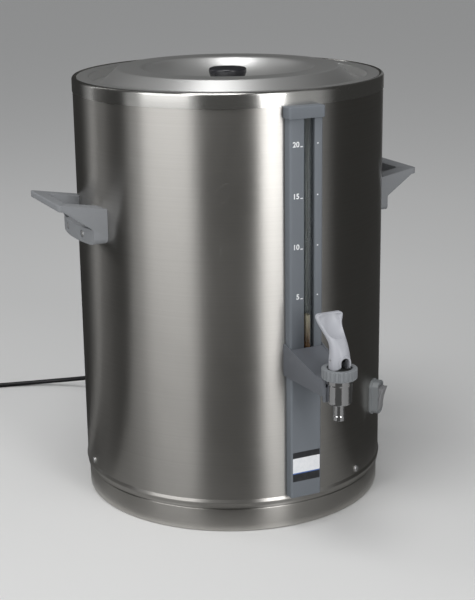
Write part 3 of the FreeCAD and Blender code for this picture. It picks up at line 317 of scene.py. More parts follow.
@dataclass(frozen=True)
class Plated(Finish):
    """Bright metal plating with faint water marks."""

    name: str
    colour: Colour = (0.68, 0.68, 0.69)
    roughness: float = 0.045
    stain: Colour = (0.55, 0.55, 0.54)

    def paint(self, w: Wiring, surface: Node, place: Socket) -> None:
        """Mirror-like metal, a little dulled in patches."""
        patches = self.group(w, smudges(), place, Scale=70.0)[0]
        marks = self.group(w, scratches(), place, Scale=90.0)[0]
        rough = w.math("MULTIPLY_ADD", patches, 0.08, self.roughness)
        inputs = {
            "Metallic": 1.0,
            "Base Color": w.blend(w.math("MULTIPLY", patches, 0.35), self.colour, self.stain),
            "Roughness": w.math("MULTIPLY_ADD", marks, 0.2, rough),
        }
        w.feed(surface, inputs)


@dataclass(frozen=True)
class Moulding(Finish):
    """Moulded plastic or rubber with a fine skin."""

    name: str
    colour: Colour = (0.2, 0.21, 0.225)
    worn: Colour = (0.26, 0.27, 0.28)
    roughness: float = 0.42
    grain: float = 1500.0
    relief: float = 0.12
    dust: float = 0.15
    coat: float = 0.0
    sheen_level: float = 0.3

    def paint(self, w: Wiring, surface: Node, place: Socket) -> None:
        """Plastic with pits, faint flow marks, wiped patches and dust on top."""
        pits, flow = self.group(w, moulded_grain(), place, Scale=self.grain)[:2]
        patches = self.group(w, smudges(), place, Scale=22.0)[0]
        marks = self.group(w, scratches(), place, Scale=60.0)[0]
        normal = w.node("ShaderNodeNewGeometry").outputs["Normal"]
        dust = self.group(w, settled_dust(), place, Normal=normal)[0]
        tint = w.math("MULTIPLY_ADD", patches, 0.4, w.math("MULTIPLY", flow, 0.3))
        tint = w.math("MULTIPLY_ADD", marks, 0.5, tint)
        base = w.blend(tint, self.colour, self.worn)
        rough = w.math("MULTIPLY_ADD", patches, 0.08, self.roughness)
        inputs = {
            "Base Color": w.blend(w.math("MULTIPLY", dust, self.dust), base, DUST_COLOUR),
            "Roughness": w.math("MULTIPLY_ADD", dust, 0.2 * self.dust, rough),
            "Normal": w.bump(pits, self.relief, 0.0002),
            "Specular IOR Level": self.sheen_level,
            "Coat Weight": self.coat,
            "Coat Roughness": 0.08,
        }
        w.feed(surface, inputs)


@dataclass(frozen=True)
class Printed(Finish):
    """Thin print or label stock, slightly uneven."""

    name: str
    colour: Colour = (0.86, 0.87, 0.88)
    thin: Colour = (0.7, 0.71, 0.72)
    roughness: float = 0.45

    def paint(self, w: Wiring, surface: Node, place: Socket) -> None:
        """Ink whose cover varies a little."""
        patches = self.group(w, smudges(), place, Scale=160.0)[0]
        rough = w.math("MULTIPLY_ADD", patches, 0.1, self.roughness)
        w.feed(surface, {"Base Color": w.blend(patches, self.colour, self.thin), "Roughness": rough})


@dataclass(frozen=True)
class TubeGlass(Finish):
    """Clear glass of the sight tube."""

    name: str
    colour: Colour = (0.93, 0.95, 0.93)
    roughness: float = 0.03

    def paint(self, w: Wiring, surface: Node, place: Socket) -> None:
        """Glass with the faint film that hard water leaves."""
        film = self.group(w, smudges(), place, Scale=90.0)[0]
        inputs = {
            "Base Color": (*self.colour, 1.0),
            "Transmission Weight": 1.0,
            "IOR": 1.47,
            "Roughness": w.math("MULTIPLY_ADD", film, 0.1, self.roughness),
        }
        w.feed(surface, inputs)


@dataclass(frozen=True)
class Scale(Finish):
    """Brown lime and tea-coloured deposit that clings inside the sight tube."""

    name: str
    high: Colour = (0.62, 0.56, 0.42)
    low: Colour = (0.17, 0.075, 0.02)
    top_z: float = 0.262
    foot_z: float = 0.232

    def paint(self, w: Wiring, surface: Node, place: Socket) -> None:
        """Deposit that darkens downwards and is streaked along the tube."""
        height = w.node("ShaderNodeSeparateXYZ", {0: place}).outputs[2]
        streaks = w.noise(w.vector("MULTIPLY", place, (900.0, 900.0, 60.0)), 1.0, 4.0)
        level = w.math("MULTIPLY_ADD", streaks, 0.02, w.math("SUBTRACT", height, 0.01))
        shade = w.blend(w.ramp(level, self.top_z, self.foot_z), self.high, self.low)
        w.feed(surface, {"Base Color": shade, "Roughness": w.math("MULTIPLY_ADD", streaks, 0.3, 0.2)})


@dataclass(frozen=True)
class Wool(Finish):
    """Mineral wool of the insulation."""

    name: str
    colour: Colour = (0.72, 0.69, 0.58)
    shade: Colour = (0.5, 0.47, 0.38)

    def paint(self, w: Wiring, surface: Node, place: Socket) -> None:
        """Matted fibres."""
        skin = self.group(w, moulded_grain(), place, Scale=500.0)[0]
        fibres = w.blend(skin, self.colour, self.shade)
        w.feed(surface, {"Base Color": fibres, "Roughness": 0.95, "Normal": w.bump(skin, 0.8, 0.002)})


JACKET_STEEL = Steel("jacket_steel")
BAND_STEEL = Steel(
    "band_steel", colour=(0.70, 0.69, 0.67), shade=(0.62, 0.61, 0.58), roughness=0.2, spread=0.05,
    relief=0.02, anisotropic=0.8,
)
PAN_STEEL = Steel("pan_steel", colour=(0.5, 0.485, 0.46), roughness=0.32)
LID_STEEL = Steel(
    "lid_steel", colour=(0.66, 0.65, 0.63), shade=(0.57, 0.56, 0.535), roughness=0.17, spread=0.05,
    along=30.0, across=240.0, relief=0.015, anisotropic=0.35,
)
TANK_STEEL = Steel("tank_steel", colour=(0.6, 0.59, 0.57), roughness=0.22, relief=0.04)
SCREW_STEEL = Steel(
    "screw_steel", colour=(0.62, 0.61, 0.6), roughness=0.2, along=300.0, across=300.0, way=GrainWay.PLAIN
)
ELEMENT_STEEL = Steel(
    "element_steel", colour=(0.3, 0.26, 0.22), shade=(0.18, 0.15, 0.13), roughness=0.4, along=120.0,
    across=120.0, way=GrainWay.PLAIN,
)
PLATE_ALUMINIUM = Steel(
    "plate_aluminium", colour=(0.78, 0.78, 0.79), shade=(0.66, 0.66, 0.67), roughness=0.35, along=40.0,
    across=40.0, way=GrainWay.PLAIN,
)
TAP_CHROME = Plated("tap_chrome")
NUT_BRASS = Plated("nut_brass", colour=(0.72, 0.56, 0.28), stain=(0.5, 0.36, 0.16), roughness=0.25)
PIN_METAL = Plated("pin_metal", colour=(0.74, 0.7, 0.6), stain=(0.6, 0.52, 0.4), roughness=0.15)
STRIP_PLASTIC = Moulding(
    "strip_plastic", colour=(0.055, 0.067, 0.08), worn=(0.075, 0.087, 0.1), roughness=0.33
)
HANDLE_PLASTIC = Moulding("handle_plastic", colour=(0.15, 0.163, 0.178), worn=(0.185, 0.198, 0.21))
NUT_PLASTIC = Moulding("nut_plastic", colour=(0.115, 0.122, 0.132), worn=(0.16, 0.168, 0.178), roughness=0.36)
# Shroud colour set darker than the gauge strip's: painted shade for the shroud's side, which faces away from
# the light.
SHROUD_PLASTIC_PAINTED_SHADE = Moulding(
    "shroud_plastic", colour=(0.034, 0.04, 0.046), worn=(0.055, 0.062, 0.07), roughness=0.33
)
LEVER_PLASTIC = Moulding(
    "lever_plastic", colour=(0.215, 0.23, 0.252), worn=(0.255, 0.27, 0.292), roughness=0.3, dust=0.04
)
# Stem steel far darker than real steel: painted shade standing in for the dark hollow inside the lever's
# arch, where the stem shows.
STEM_STEEL_PAINTED_SHADE = Steel(
    "stem_steel_painted_shade", colour=(0.16, 0.155, 0.15), shade=(0.08, 0.075, 0.07), roughness=0.3,
    along=300.0, across=300.0, way=GrainWay.PLAIN,
)
SWITCH_PLASTIC = Moulding(
    "switch_plastic", colour=(0.045, 0.049, 0.053), worn=(0.075, 0.08, 0.085), roughness=0.26
)
ROCKER_PLASTIC = Moulding(
    "rocker_plastic", colour=(0.085, 0.09, 0.095), worn=(0.13, 0.135, 0.14), roughness=0.22, coat=0.6
)
KNOB_PLASTIC = Moulding(
    "knob_plastic", colour=(0.035, 0.038, 0.043), worn=(0.06, 0.06, 0.065), roughness=0.22,
    coat=0.5, dust=0.25,
)
BONNET_PLASTIC = Moulding("bonnet_plastic", colour=(0.04, 0.04, 0.042), worn=(0.06, 0.06, 0.06))
SEAL_RUBBER = Moulding("seal_rubber", colour=(0.03, 0.03, 0.03), worn=(0.05, 0.05, 0.05), roughness=0.6)
SEAT_RUBBER = Moulding("seat_rubber", colour=(0.7, 0.68, 0.62), worn=(0.62, 0.6, 0.53), roughness=0.5)
STAT_BODY = Moulding("stat_body", colour=(0.72, 0.7, 0.64), worn=(0.62, 0.6, 0.54), roughness=0.3)
BLOCK_PLASTIC = Moulding("block_plastic", colour=(0.7, 0.68, 0.6), worn=(0.62, 0.6, 0.52))
CORD_SHEATH = Moulding(
    "cord_sheath", colour=(0.012, 0.012, 0.013), worn=(0.025, 0.025, 0.025), roughness=0.33,
    grain=900.0, dust=0.1,
)
TIE_PLASTIC = Moulding("tie_plastic", colour=(0.02, 0.02, 0.02), worn=(0.04, 0.04, 0.04), roughness=0.45)
WHITE_INK = Printed("white_ink")
LABEL_WHITE = Printed("label_white", colour=(0.82, 0.83, 0.85), thin=(0.74, 0.76, 0.79), roughness=0.3)
LABEL_DARK = Printed("label_dark", colour=(0.02, 0.021, 0.024), thin=(0.035, 0.036, 0.04), roughness=0.3)
LABEL_BLUE = Printed("label_blue", colour=(0.06, 0.13, 0.36), thin=(0.08, 0.16, 0.4), roughness=0.3)
GLASS = TubeGlass("sight_glass")
DEPOSIT = Scale("tube_deposit")
INSULATION = Wool("insulation_wool")


def rounded(corners: Sequence[Corner], steps: int = 6) -> list[tuple[float, float]]:
    """Polyline or outline through (a, b[, radius]) corners, each rounded by its radius.

    Args:
        corners: the corners, in order; the last joins the first.
        steps: straight pieces in each rounding.

    Returns:
        The points of the outline.
    """
    points: list[tuple[float, float]] = []
    count = len(corners)
    for i, corner in enumerate(corners):
        here = Vector(corner[:2])
        radius = corner[2] if len(corner) > 2 else 0.0
        if radius <= 0:
            points.append(tuple(here))
            continue
        back = (Vector(corners[i - 1][:2]) - here).normalized()
        ahead = (Vector(corners[(i + 1) % count][:2]) - here).normalized()
        half = back.angle(ahead) / 2
        centre = here + (back + ahead).normalized() * (radius / math.sin(half))
        start = here + back * (radius / math.tan(half)) - centre
        end = here + ahead * (radius / math.tan(half)) - centre
        sweep = start.angle_signed(end)
        for k in range(steps + 1):
            turn = Matrix.Rotation(-sweep * k / steps, 2)
            points.append(tuple(centre + turn @ start))
    return points


def bent_sheet(path: Sequence[Corner], thickness: float) -> list[Corner]:
    """Outline of bent sheet: the path is one face and the other lies to its left."""
    other: list[Corner] = []
    for i, corner in enumerate(path):
        here = Vector(corner[:2])
        before = Vector(path[max(i - 1, 0)][:2])
        after = Vector(path[min(i + 1, len(path) - 1)][:2])
        came = (here - before if i else after - here).normalized()
        goes = (after - here if i < len(path) - 1 else came).normalized()
        n0 = Vector((-came.y, came.x))
        n1 = Vector((-goes.y, goes.x))
        moved = here + (n0 + n1) * (thickness / (1 + n0.dot(n1)))
        radius = corner[2] if len(corner) > 2 else 0.0
        turn = came.x * goes.y - came.y * goes.x
        new_radius = radius - thickness if turn > 0 else radius + thickness
        other.append((moved.x, moved.y, new_radius if radius else 0.0))
    return list(path) + other[::-1]


def mark_sharp(mesh: bmesh.types.BMesh, degrees: float = 32.0) -> None:
    """Shades the mesh smooth but for edges that turn by more than the angle."""
    for face in mesh.faces:
        face.smooth = True
    for edge in mesh.edges:
        edge.smooth = len(edge.link_faces) == 2 and edge.calc_face_angle(0.0) < math.radians(degrees)


def mesh_data(name: str, mesh: Mesh) -> bpy.types.Mesh:
    """Blender's mesh of a finished one, which is freed."""
    data = bpy.data.meshes.new(name)
    mesh.to_mesh(data)
    mesh.free()
    return data


def put(name: str, data: bpy.types.ID) -> bpy.types.Object:
    """New object in the scene."""
    made = bpy.data.objects.new(name, data)
    bpy.context.scene.collection.objects.link(made)
    return made


def add_piece(
    mesh: Mesh, name: str, finish: Finish, body: Body = Body.URN, stands_for: Sequence[str] = ()
) -> bpy.types.Object:
    """Puts a finished mesh into the scene as a piece of the urn.

    Args:
        mesh: the mesh, in the model's frame; it is freed.
        name: name of the piece.
        finish: what it is made of.
        body: the body it rides on.
        stands_for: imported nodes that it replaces.

    Returns:
        The new object.
    """
    bmesh.ops.recalc_face_normals(mesh, faces=mesh.faces)
    mark_sharp(mesh)
    made = put(name, mesh_data(name, mesh))
    made.data.materials.append(finish.material())
    settle(made, body, stands_for)
    return made


def settle(made: bpy.types.Object, body: Body, stands_for: Sequence[str] = ()) -> None:
    """Says which body a piece rides on and the nodes that it replaces."""
    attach(made, body.value)
    if stands_for:
        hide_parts(*stands_for)
    log.info("piece %s rides on %s", made.name, body.value)


def lathe(outline: Sequence[Corner], steps: int = ROUND_STEPS, x: float = 0.0, y: float = 0.0) -> Mesh:
    """Closed mesh of an (r, z) outline turned about the vertical through x, y."""
    mesh = bmesh.new()
    rings = []
    for k in range(steps):
        angle = 2 * math.pi * k / steps
        way = Vector((math.cos(angle), math.sin(angle), 0))
        rings.append([mesh.verts.new(Vector((x, y, z)) + way * r) for r, z in outline])
    count = len(outline)
    for k, ring in enumerate(rings):
        following = rings[(k + 1) % steps]
        for i in range(count):
            j = (i + 1) % count
            if max(outline[i][0], outline[j][0]) >= 1e-7:
                mesh.faces.new((ring[i], following[i], following[j], ring[j]))
    bmesh.ops.remove_doubles(mesh, verts=mesh.verts, dist=1e-6)
    loose = [v for v in mesh.verts if not v.link_faces]
    bmesh.ops.delete(mesh, geom=loose, context="VERTS")
    return mesh


def prism(outline: Sequence[Corner], place: Callable[[float, float], Vector], depth: Vector) -> Mesh:
    """Closed mesh of a flat outline pushed along depth."""
    mesh = bmesh.new()
    low = [mesh.verts.new(place(a, b)) for a, b in outline]
    high = [mesh.verts.new(place(a, b) + depth) for a, b in outline]
    mesh.faces.new(low)
    mesh.faces.new(high[::-1])
    count = len(outline)
    for i in range(count):
        j = (i + 1) % count
        mesh.faces.new((low[i], high[i], high[j], low[j]))
    return mesh


def carve(mesh: Mesh, cutters: Sequence[Mesh]) -> Mesh:
    """Cuts closed shapes out of a closed mesh.

    Args:
        mesh: what is cut; it is freed.
        cutters: the shapes that come off; they are freed.

    Returns:
        The mesh that is left.
    """
    holders = []
    for shape in (mesh, *cutters):
        bmesh.ops.recalc_face_normals(shape, faces=shape.faces)
        holders.append(put("carving", mesh_data("carving", shape)))
    for cutter in holders[1:]:
        step = holders[0].modifiers.new("cut", "BOOLEAN")
        step.operation = "DIFFERENCE"
        step.solver = "EXACT"
        step.object = cutter
    bpy.context.view_layer.update()
    graph = bpy.context.evaluated_depsgraph_get()
    left = bmesh.new()
    left.from_mesh(bpy.data.meshes.new_from_object(holders[0].evaluated_get(graph)))
    for holder in holders:
        bpy.data.objects.remove(holder)
    return left


def block(low: Corner, high: Corner, turn_deg: float = 0.0) -> Mesh:
    """Closed box between two corners, turned about the urn's axis."""
    outline = [(low[0], low[1]), (high[0], low[1]), (high[0], high[1]), (low[0], high[1])]
    mesh = prism(outline, lambda a, b: Vector((a, b, low[2])), Vector((0, 0, high[2] - low[2])))
    mesh.transform(Matrix.Rotation(math.radians(turn_deg), 4, "Z"))
    return mesh


def circle(radius: float, a: float = 0.0, b: float = 0.0) -> list[Corner]:
    """Outline of a round bore about a, b."""
    turns = [2 * math.pi * k / BORE_STEPS for k in range(BORE_STEPS)]
    return [(a + radius * math.cos(turn), b + radius * math.sin(turn)) for turn in turns]


def bar_through(radius: float, x: float, z: float, y_from: float, y_to: float) -> Mesh:
    """Closed round bar along Y."""
    return prism(circle(radius, x, z), lambda a, b: Vector((a, y_from, b)), Vector((0, y_to - y_from, 0)))


def softened(
    node: str, finish: Finish, body: Body = Body.URN, width: float = 0.0006, degrees: float = 28.0
) -> bpy.types.Object:
    """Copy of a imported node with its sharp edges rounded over, as a moulding has them.

    Args:
        node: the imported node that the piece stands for.
        finish: what it is made of.
        body: the body it rides on.
        width: how far the rounding reaches from each edge.
        degrees: edges that turn by more than this are rounded.

    Returns:
        The new object.
    """
    mesh = bmesh.new()
    mesh.from_mesh(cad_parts[node].data)
    bmesh.ops.remove_doubles(mesh, verts=mesh.verts, dist=1e-6)
    bmesh.ops.dissolve_limit(mesh, angle_limit=math.radians(0.5), verts=mesh.verts, edges=mesh.edges)
    least = math.radians(degrees)
    sharp = [e for e in mesh.edges if len(e.link_faces) == 2 and e.calc_face_angle(0.0) > least]
    bmesh.ops.bevel(
        mesh, geom=sharp, offset=width, offset_type="OFFSET", segments=3, profile=0.5, affect="EDGES",
        clamp_overlap=True,
    )
    bmesh.ops.remove_doubles(mesh, verts=mesh.verts, dist=1e-6)
    return add_piece(mesh, f"{node}_shell", finish, body, [node])


def dress(nodes: Iterable[str], finish: Finish) -> None:
    """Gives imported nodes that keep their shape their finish."""
    for name in nodes:
        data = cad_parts[name].data
        data.materials.clear()
        data.materials.append(finish.material())
        log.info("node %s is finished as %s", name, finish.name)


@dataclass
class Shells:
    """The steel body: jacket, band round the mouth, tank and foot."""

    jacket_r: float = 0.185
    jacket_t: float = 0.0007
    jacket_top: float = 0.5091
    jacket_foot: float = 0.0305
    bead_z: float = 0.037
    bead_proud: float = 0.0012
    band_t: float = 0.0006
    band_foot: float = 0.4955
    band_top: float = 0.5125
    band_drop_r: float = 0.1816
    ledge_z: float = 0.5105
    ledge_in_r: float = 0.1686
    tank_r: float = 0.1669
    tank_t: float = 0.0008
    tank_floor: float = 0.2268
    tank_corner_r: float = 0.014
    pan_r: float = 0.183
    pan_t: float = 0.0008
    pan_ring_w: float = 0.022
    pan_rise: float = 0.006
    pan_groove_z: float = 0.0294
    pan_top: float = 0.064
    pocket_half: tuple[float, float] = (0.01005, 0.0168)
    switch_z: float = 0.126
    switch_turn: float = 41.6
    tap_slot: tuple[float, float, float, float] = (-0.0072, 0.0112, 0.1921, 0.2183)
    gland_z: float = 0.053
    gland_hole_r: float = 0.0075
    outlet_y: float = -0.133
    outlet_r: float = 0.0097
    drill_half: float = 0.01
    cut_in: float = 0.17
    cut_out: float = 0.2
    bead_half_h: float = 0.004
    fit: float = 0.0001
    groove_h: float = 0.0015
    groove_depth: float = 0.0016
    groove_slope_h: float = 0.004

    def build(self) -> None:
        """Makes the four shells and dresses what lies between them."""
        self.jacket()
        self.band()
        self.tank()
        self.pan()
        dress(["insulation"], INSULATION)
        dress(["base_screws"], SCREW_STEEL)

    def jacket(self) -> None:
        """Outer jacket with its swaged bead."""
        inner = self.jacket_r - self.jacket_t
        path = [
            (inner, self.jacket_top),
            (inner, self.bead_z + self.bead_half_h, 0.002),
            (inner + self.bead_proud, self.bead_z, 0.002),
            (inner, self.bead_z - self.bead_half_h, 0.002),
            (inner, self.jacket_foot),
        ]
        mesh = lathe(rounded(bent_sheet(path, self.jacket_t)))
        half_w, half_h = self.pocket_half
        low = (-half_w, -self.cut_out, self.switch_z - half_h)
        high = (half_w, -self.cut_in, self.switch_z + half_h)
        left, right, foot, top = self.tap_slot
        openings = [
            block(low, high, self.switch_turn),
            block((left, -self.cut_out, foot), (right, -self.cut_in, top)),
            self.gland_drill(),
        ]
        mesh = carve(mesh, openings)
        add_piece(mesh, "jacket_shell", JACKET_STEEL, stands_for=["outer_jacket"])

    def gland_drill(self) -> Mesh:
        """Cutter of the gland's hole at the back."""
        return bar_through(self.gland_hole_r, 0.0, self.gland_z, self.cut_in, self.cut_out)

    def band(self) -> None:
        """Polished band that rolls over the mouth and drops to the ledge of the lid."""
        over = self.jacket_r + self.fit / 2
        flat = self.ledge_z - self.band_t
        path = [
            (self.ledge_in_r, flat),
            (self.band_drop_r + self.band_t, flat),
            (self.band_drop_r + self.band_t, self.band_top - self.band_t, 0.0003),
            (over, self.band_top - self.band_t, 0.0029),
            (over, self.band_foot),
        ]
        mesh = lathe(rounded(bent_sheet(path, self.band_t), 8))
        add_piece(mesh, "band_shell", BAND_STEEL, stands_for=["top_band"])

    def tank(self) -> None:
        """Deep-drawn tank hung by its flange."""
        top = self.ledge_z - self.band_t
        out = self.tank_r + self.tank_t
        edge = self.jacket_r - self.fit
        outline = [
            (0.0, self.tank_floor),
            (self.tank_r, self.tank_floor, self.tank_corner_r),
            (self.tank_r, top, 0.0015),
            (edge, top),
            (edge, top - self.tank_t),
            (out, top - self.tank_t, 0.0007),
            (out, self.tank_floor - self.tank_t, self.tank_corner_r + self.tank_t),
            (0.0, self.tank_floor - self.tank_t),
        ]
        foot = self.tank_floor - self.drill_half
        ring = circle(self.outlet_r, 0.0, self.outlet_y)
        drill = prism(ring, lambda a, b: Vector((a, b, foot)), Vector((0, 0, 2 * self.drill_half)))
        mesh = carve(lathe(rounded(outline)), [drill])
        add_piece(mesh, "tank_shell", TANK_STEEL, stands_for=["inner_tank"])

    def pan(self) -> None:
        """Foot of the urn, with the groove under the jacket's bead."""
        inside = self.jacket_r - self.jacket_t - self.fit
        path = [
            (0.0, self.pan_rise),
            (self.pan_r - self.pan_ring_w - self.pan_rise, self.pan_rise, 0.002),
            (self.pan_r - self.pan_ring_w, 0.0, 0.002),
            (self.pan_r, 0.0, 0.0025),
            (self.pan_r, self.pan_groove_z - self.groove_h, 0.001),
            (self.pan_r - self.groove_depth, self.pan_groove_z, 0.001),
            (inside, self.pan_groove_z + self.groove_slope_h, 0.0012),
            (inside, self.pan_top),
        ]
        mesh = carve(lathe(rounded(bent_sheet(path, self.pan_t))), [self.gland_drill()])
        add_piece(mesh, "pan_shell", PAN_STEEL, stands_for=["base_pan"])


@dataclass
class Lid:
    """Lift-off lid with its knob."""

    rim_r: float = 0.180
    sheet_t: float = 0.0008
    lip_r: float = 0.1659
    seat_z: float = 0.5108
    gutter_z: float = 0.5008
    gutter_in_r: float = 0.154
    crown_r: float = 0.1315
    crown_z: float = 0.5203
    dish_r: float = 0.103
    dish_foot_r: float = 0.0804
    flat_z: float = 0.493
    knob_r: float = 0.0225
    knob_h: float = 0.025
    neck_r: float = 0.015
    neck_h: float = 0.004
    flare: float = 0.0022
    flare_share: float = 0.55
    rim_h: float = 0.005
    dimple_r: float = 0.009
    dimple: float = 0.0012

    def build(self) -> None:
        """Makes the pressed lid and its knob."""
        t = self.sheet_t
        path = [
            (0.0, self.flat_z - t),
            (self.dish_foot_r, self.flat_z - t, 0.060),
            (self.dish_r, self.crown_z - t, 0.007),
            (self.crown_r, self.crown_z - t, 0.004),
            (self.gutter_in_r, self.gutter_z - t, 0.003),
            (self.lip_r, self.gutter_z - t, 0.003),
            (self.lip_r, self.seat_z, 0.0012),
            (self.rim_r, self.seat_z),
        ]
        mesh = lathe(rounded(bent_sheet(path, t), 14))
        add_piece(mesh, "lid_shell", LID_STEEL, Body.LID, ["lid_pan"])
        z = self.flat_z
        top = z + self.knob_h
        outline = [
            (0.0, z),
            (self.neck_r, z, 0.0015),
            (self.neck_r, z + self.neck_h, 0.003),
            (self.knob_r - self.flare, z + self.knob_h * self.flare_share, 0.006),
            (self.knob_r, top - self.rim_h, 0.003),
            (self.knob_r, top, 0.0025),
            (self.dimple_r, top, 0.004),
            (0.0, top - self.dimple),
        ]
        knob = lathe(rounded(outline, 10), 96)
        add_piece(knob, "knob_cap", KNOB_PLASTIC, Body.LID, ["lid_knob"])
        dress(["knob_screw"], SCREW_STEEL)


@dataclass
class Gauge:
    """Level gauge: strips, cap, sight tube, deposit, printed scale and label."""

    front_y: float = -0.1965
    tube_x: float = 0.0036
    tube_y: float = -0.1911
    tube_r: float = 0.005
    bore_r: float = 0.0037
    tube_foot: float = 0.2085
    tube_top: float = 0.489
    zero_z: float = 0.2268
    step_z: float = 0.0571
    tick_x: float = -0.0078
    dot_x: float = 0.0138
    number_size: float = 0.0082
    number_weight: float = 0.00022
    number_gap: float = 0.0012
    tick: tuple[float, float] = (0.0034, 0.0011)
    tick_shift: tuple[float, float] = (0.0016, -0.0024)
    dot: tuple[float, float] = (0.0019, 0.0016)
    print_t: float = 0.00008
    film_gap: float = 0.00005
    film_t: float = 0.0004
    film_tip_t: float = 0.00015
    film_from: float = 0.001
    film_to: float = 0.046
    film_tip: float = 0.052
    label_foot: float = 0.062
    label_h: float = 0.036
    label_half_w: float = 0.0175
    levels: tuple[int, ...] = (5, 10, 15, 20)

    def build(self) -> None:
        """Makes the whole gauge."""
        for node in ("gauge_strip", "lower_strip", "gauge_cap"):
            softened(node, STRIP_PLASTIC, width=0.0005)
        dress(["tube_seals"], SEAL_RUBBER)
        self.tube()
        for level in self.levels:
            self.mark(level)
        self.label()

    def tube(self) -> None:
        """Glass tube and the deposit inside its lower end."""
        wall = [
            (self.bore_r, self.tube_foot),
            (self.tube_r, self.tube_foot),
            (self.tube_r, self.tube_top),
            (self.bore_r, self.tube_top),
        ]
        glass = lathe(wall, 48, self.tube_x, self.tube_y)
        add_piece(glass, "sight_glass", GLASS, stands_for=["sight_tube"])
        reach = self.bore_r - self.film_gap
        foot = self.tube_foot
        film = [
            (reach - self.film_t, foot + self.film_from),
            (reach, foot + self.film_from),
            (reach, foot + self.film_to),
            (reach - self.film_tip_t, foot + self.film_tip),
            (reach - self.film_t, foot + self.film_to),
        ]
        deposit = lathe(film, 48, self.tube_x, self.tube_y)
        add_piece(deposit, "tube_deposit", DEPOSIT)

    def mark(self, level: int) -> None:
        """Number, tick and dot of one level."""
        z = self.zero_z + self.step_z * level / 5
        letters = bpy.data.curves.new(f"level_{level}", "FONT")
        letters.body = str(level)
        letters.size = self.number_size
        letters.align_x = "RIGHT"
        letters.align_y = "CENTER"
        letters.extrude = self.print_t / 2
        letters.offset = self.number_weight
        holder = put(f"level_{level}_text", letters)
        bpy.context.view_layer.update()
        mesh = bmesh.new()
        mesh.from_mesh(bpy.data.meshes.new_from_object(holder))
        bpy.data.objects.remove(holder)
        shift = Matrix.Translation((self.tick_x - self.number_gap, self.front_y - self.print_t / 2, z))
        mesh.transform(shift @ Matrix.Rotation(math.pi / 2, 4, "X"))
        add_piece(mesh, f"number_{level}", WHITE_INK)
        self.dab(f"tick_{level}", self.tick_x + self.tick_shift[0], z + self.tick_shift[1], *self.tick)
        self.dab(f"dot_{level}", self.dot_x, z, *self.dot)

    def dab(self, name: str, x: float, z: float, width: float, height: float) -> None:
        """Small printed bar with rounded ends, centred on x, z."""
        sides = (x - width / 2, x + width / 2, z - height / 2, z + height / 2)
        self.patch(name, WHITE_INK, sides, min(width, height) * 0.45, self.print_t)

    def patch(self, name: str, finish: Finish, sides: Corner, end: float, thick: float) -> None:
        """Printed patch on the face of the strip.

        Args:
            name: name of the piece.
            finish: its ink or paper.
            sides: its left, right, foot and top.
            end: radius of its corners.
            thick: how far it stands out.
        """
        left, right, foot, top = sides
        corners = [(left, foot, end), (right, foot, end), (right, top, end), (left, top, end)]
        face = lambda a, b: Vector((a, self.front_y, b))
        add_piece(prism(rounded(corners, 3), face, Vector((0, -thick, 0))), name, finish)

    def label(self) -> None:
        """Blank label on the lower strip: dark bands above and below a white field."""
        bands = [
            ("label_foot", 0.0, 0.26, LABEL_DARK),
            ("label_line", 0.26, 0.30, LABEL_BLUE),
            ("label_field", 0.30, 0.80, LABEL_WHITE),
            ("label_head", 0.80, 1.0, LABEL_DARK),
        ]
        for name, low, high, finish in bands:
            foot = self.label_foot + low * self.label_h
            top = self.label_foot + high * self.label_h
            sides = (-self.label_half_w, self.label_half_w, foot, top)
            self.patch(name, finish, sides, 0.0, self.print_t * 1.5)


@dataclass
class Tap:
    """Lever tap in its moulded shroud."""

    axis_y: float = -0.271
    spring_top_z: float = 0.2135
    stem_rise: float = 0.0034

    def build(self) -> None:
        """Finishes the tap's pieces."""
        # The shroud's finish carries painted shade in its darkened base colour.
        softened("tap_housing", SHROUD_PLASTIC_PAINTED_SHADE, width=0.0006)
        softened("tap_nut", NUT_PLASTIC, width=0.0003, degrees=40.0)
        softened("tap_lever", LEVER_PLASTIC, Body.LEVER, width=0.0005)
        dress(["tap_body", "outlet_elbow"], TAP_CHROME)
        dress(["tap_bonnet"], BONNET_PLASTIC)
        dress(["lever_pin"], SCREW_STEEL)
        # The stem's finish is painted shade for the hollow of the lever's arch.
        dress(["valve_stem"], STEM_STEEL_PAINTED_SHADE)
        self.spring()
        dress(["seat_cup"], SEAT_RUBBER)
        dress(["outlet_nut", "tap_locknut"], NUT_BRASS)
        dress(["outlet_gasket"], SEAL_RUBBER)

    def spring(self) -> None:
        """Valve spring: a copy of the imported coil, on the urn, with a mesh of its own."""
        mesh = bmesh.new()
        mesh.from_mesh(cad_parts["valve_spring"].data)
        made = add_piece(mesh, "valve_spring_coil", SCREW_STEEL, Body.URN, ["valve_spring"])
        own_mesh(made)


@dataclass
class Handles:
    """Side handles with their screws and backing plates."""

    def build(self) -> None:
        """Finishes both handles."""
        for node in ("left_handle", "right_handle"):
            softened(node, HANDLE_PLASTIC, width=0.0009)
        dress(["handle_screws", "handle_backplates"], SCREW_STEEL)


@dataclass
class Switch:
    """Rocker switch in its bezel."""

    def build(self) -> None:
        """Finishes the bezel and the rocker."""
        softened("switch_housing", SWITCH_PLASTIC, width=0.0004)
        softened("switch_rocker", ROCKER_PLASTIC, Body.ROCKER, width=0.0005)


@dataclass
class Heating:
    """Heater, its safety switches and the terminals under the tank."""

    def build(self) -> None:
        """Finishes the hidden electrical pieces."""
        dress(["heater_plate"], PLATE_ALUMINIUM)
        dress(["heating_element"], ELEMENT_STEEL)
        dress(["thermostat", "boil_dry_cutout"], STAT_BODY)
        dress(["terminal_block"], BLOCK_PLASTIC)
        dress(["earth_stud"], NUT_BRASS)


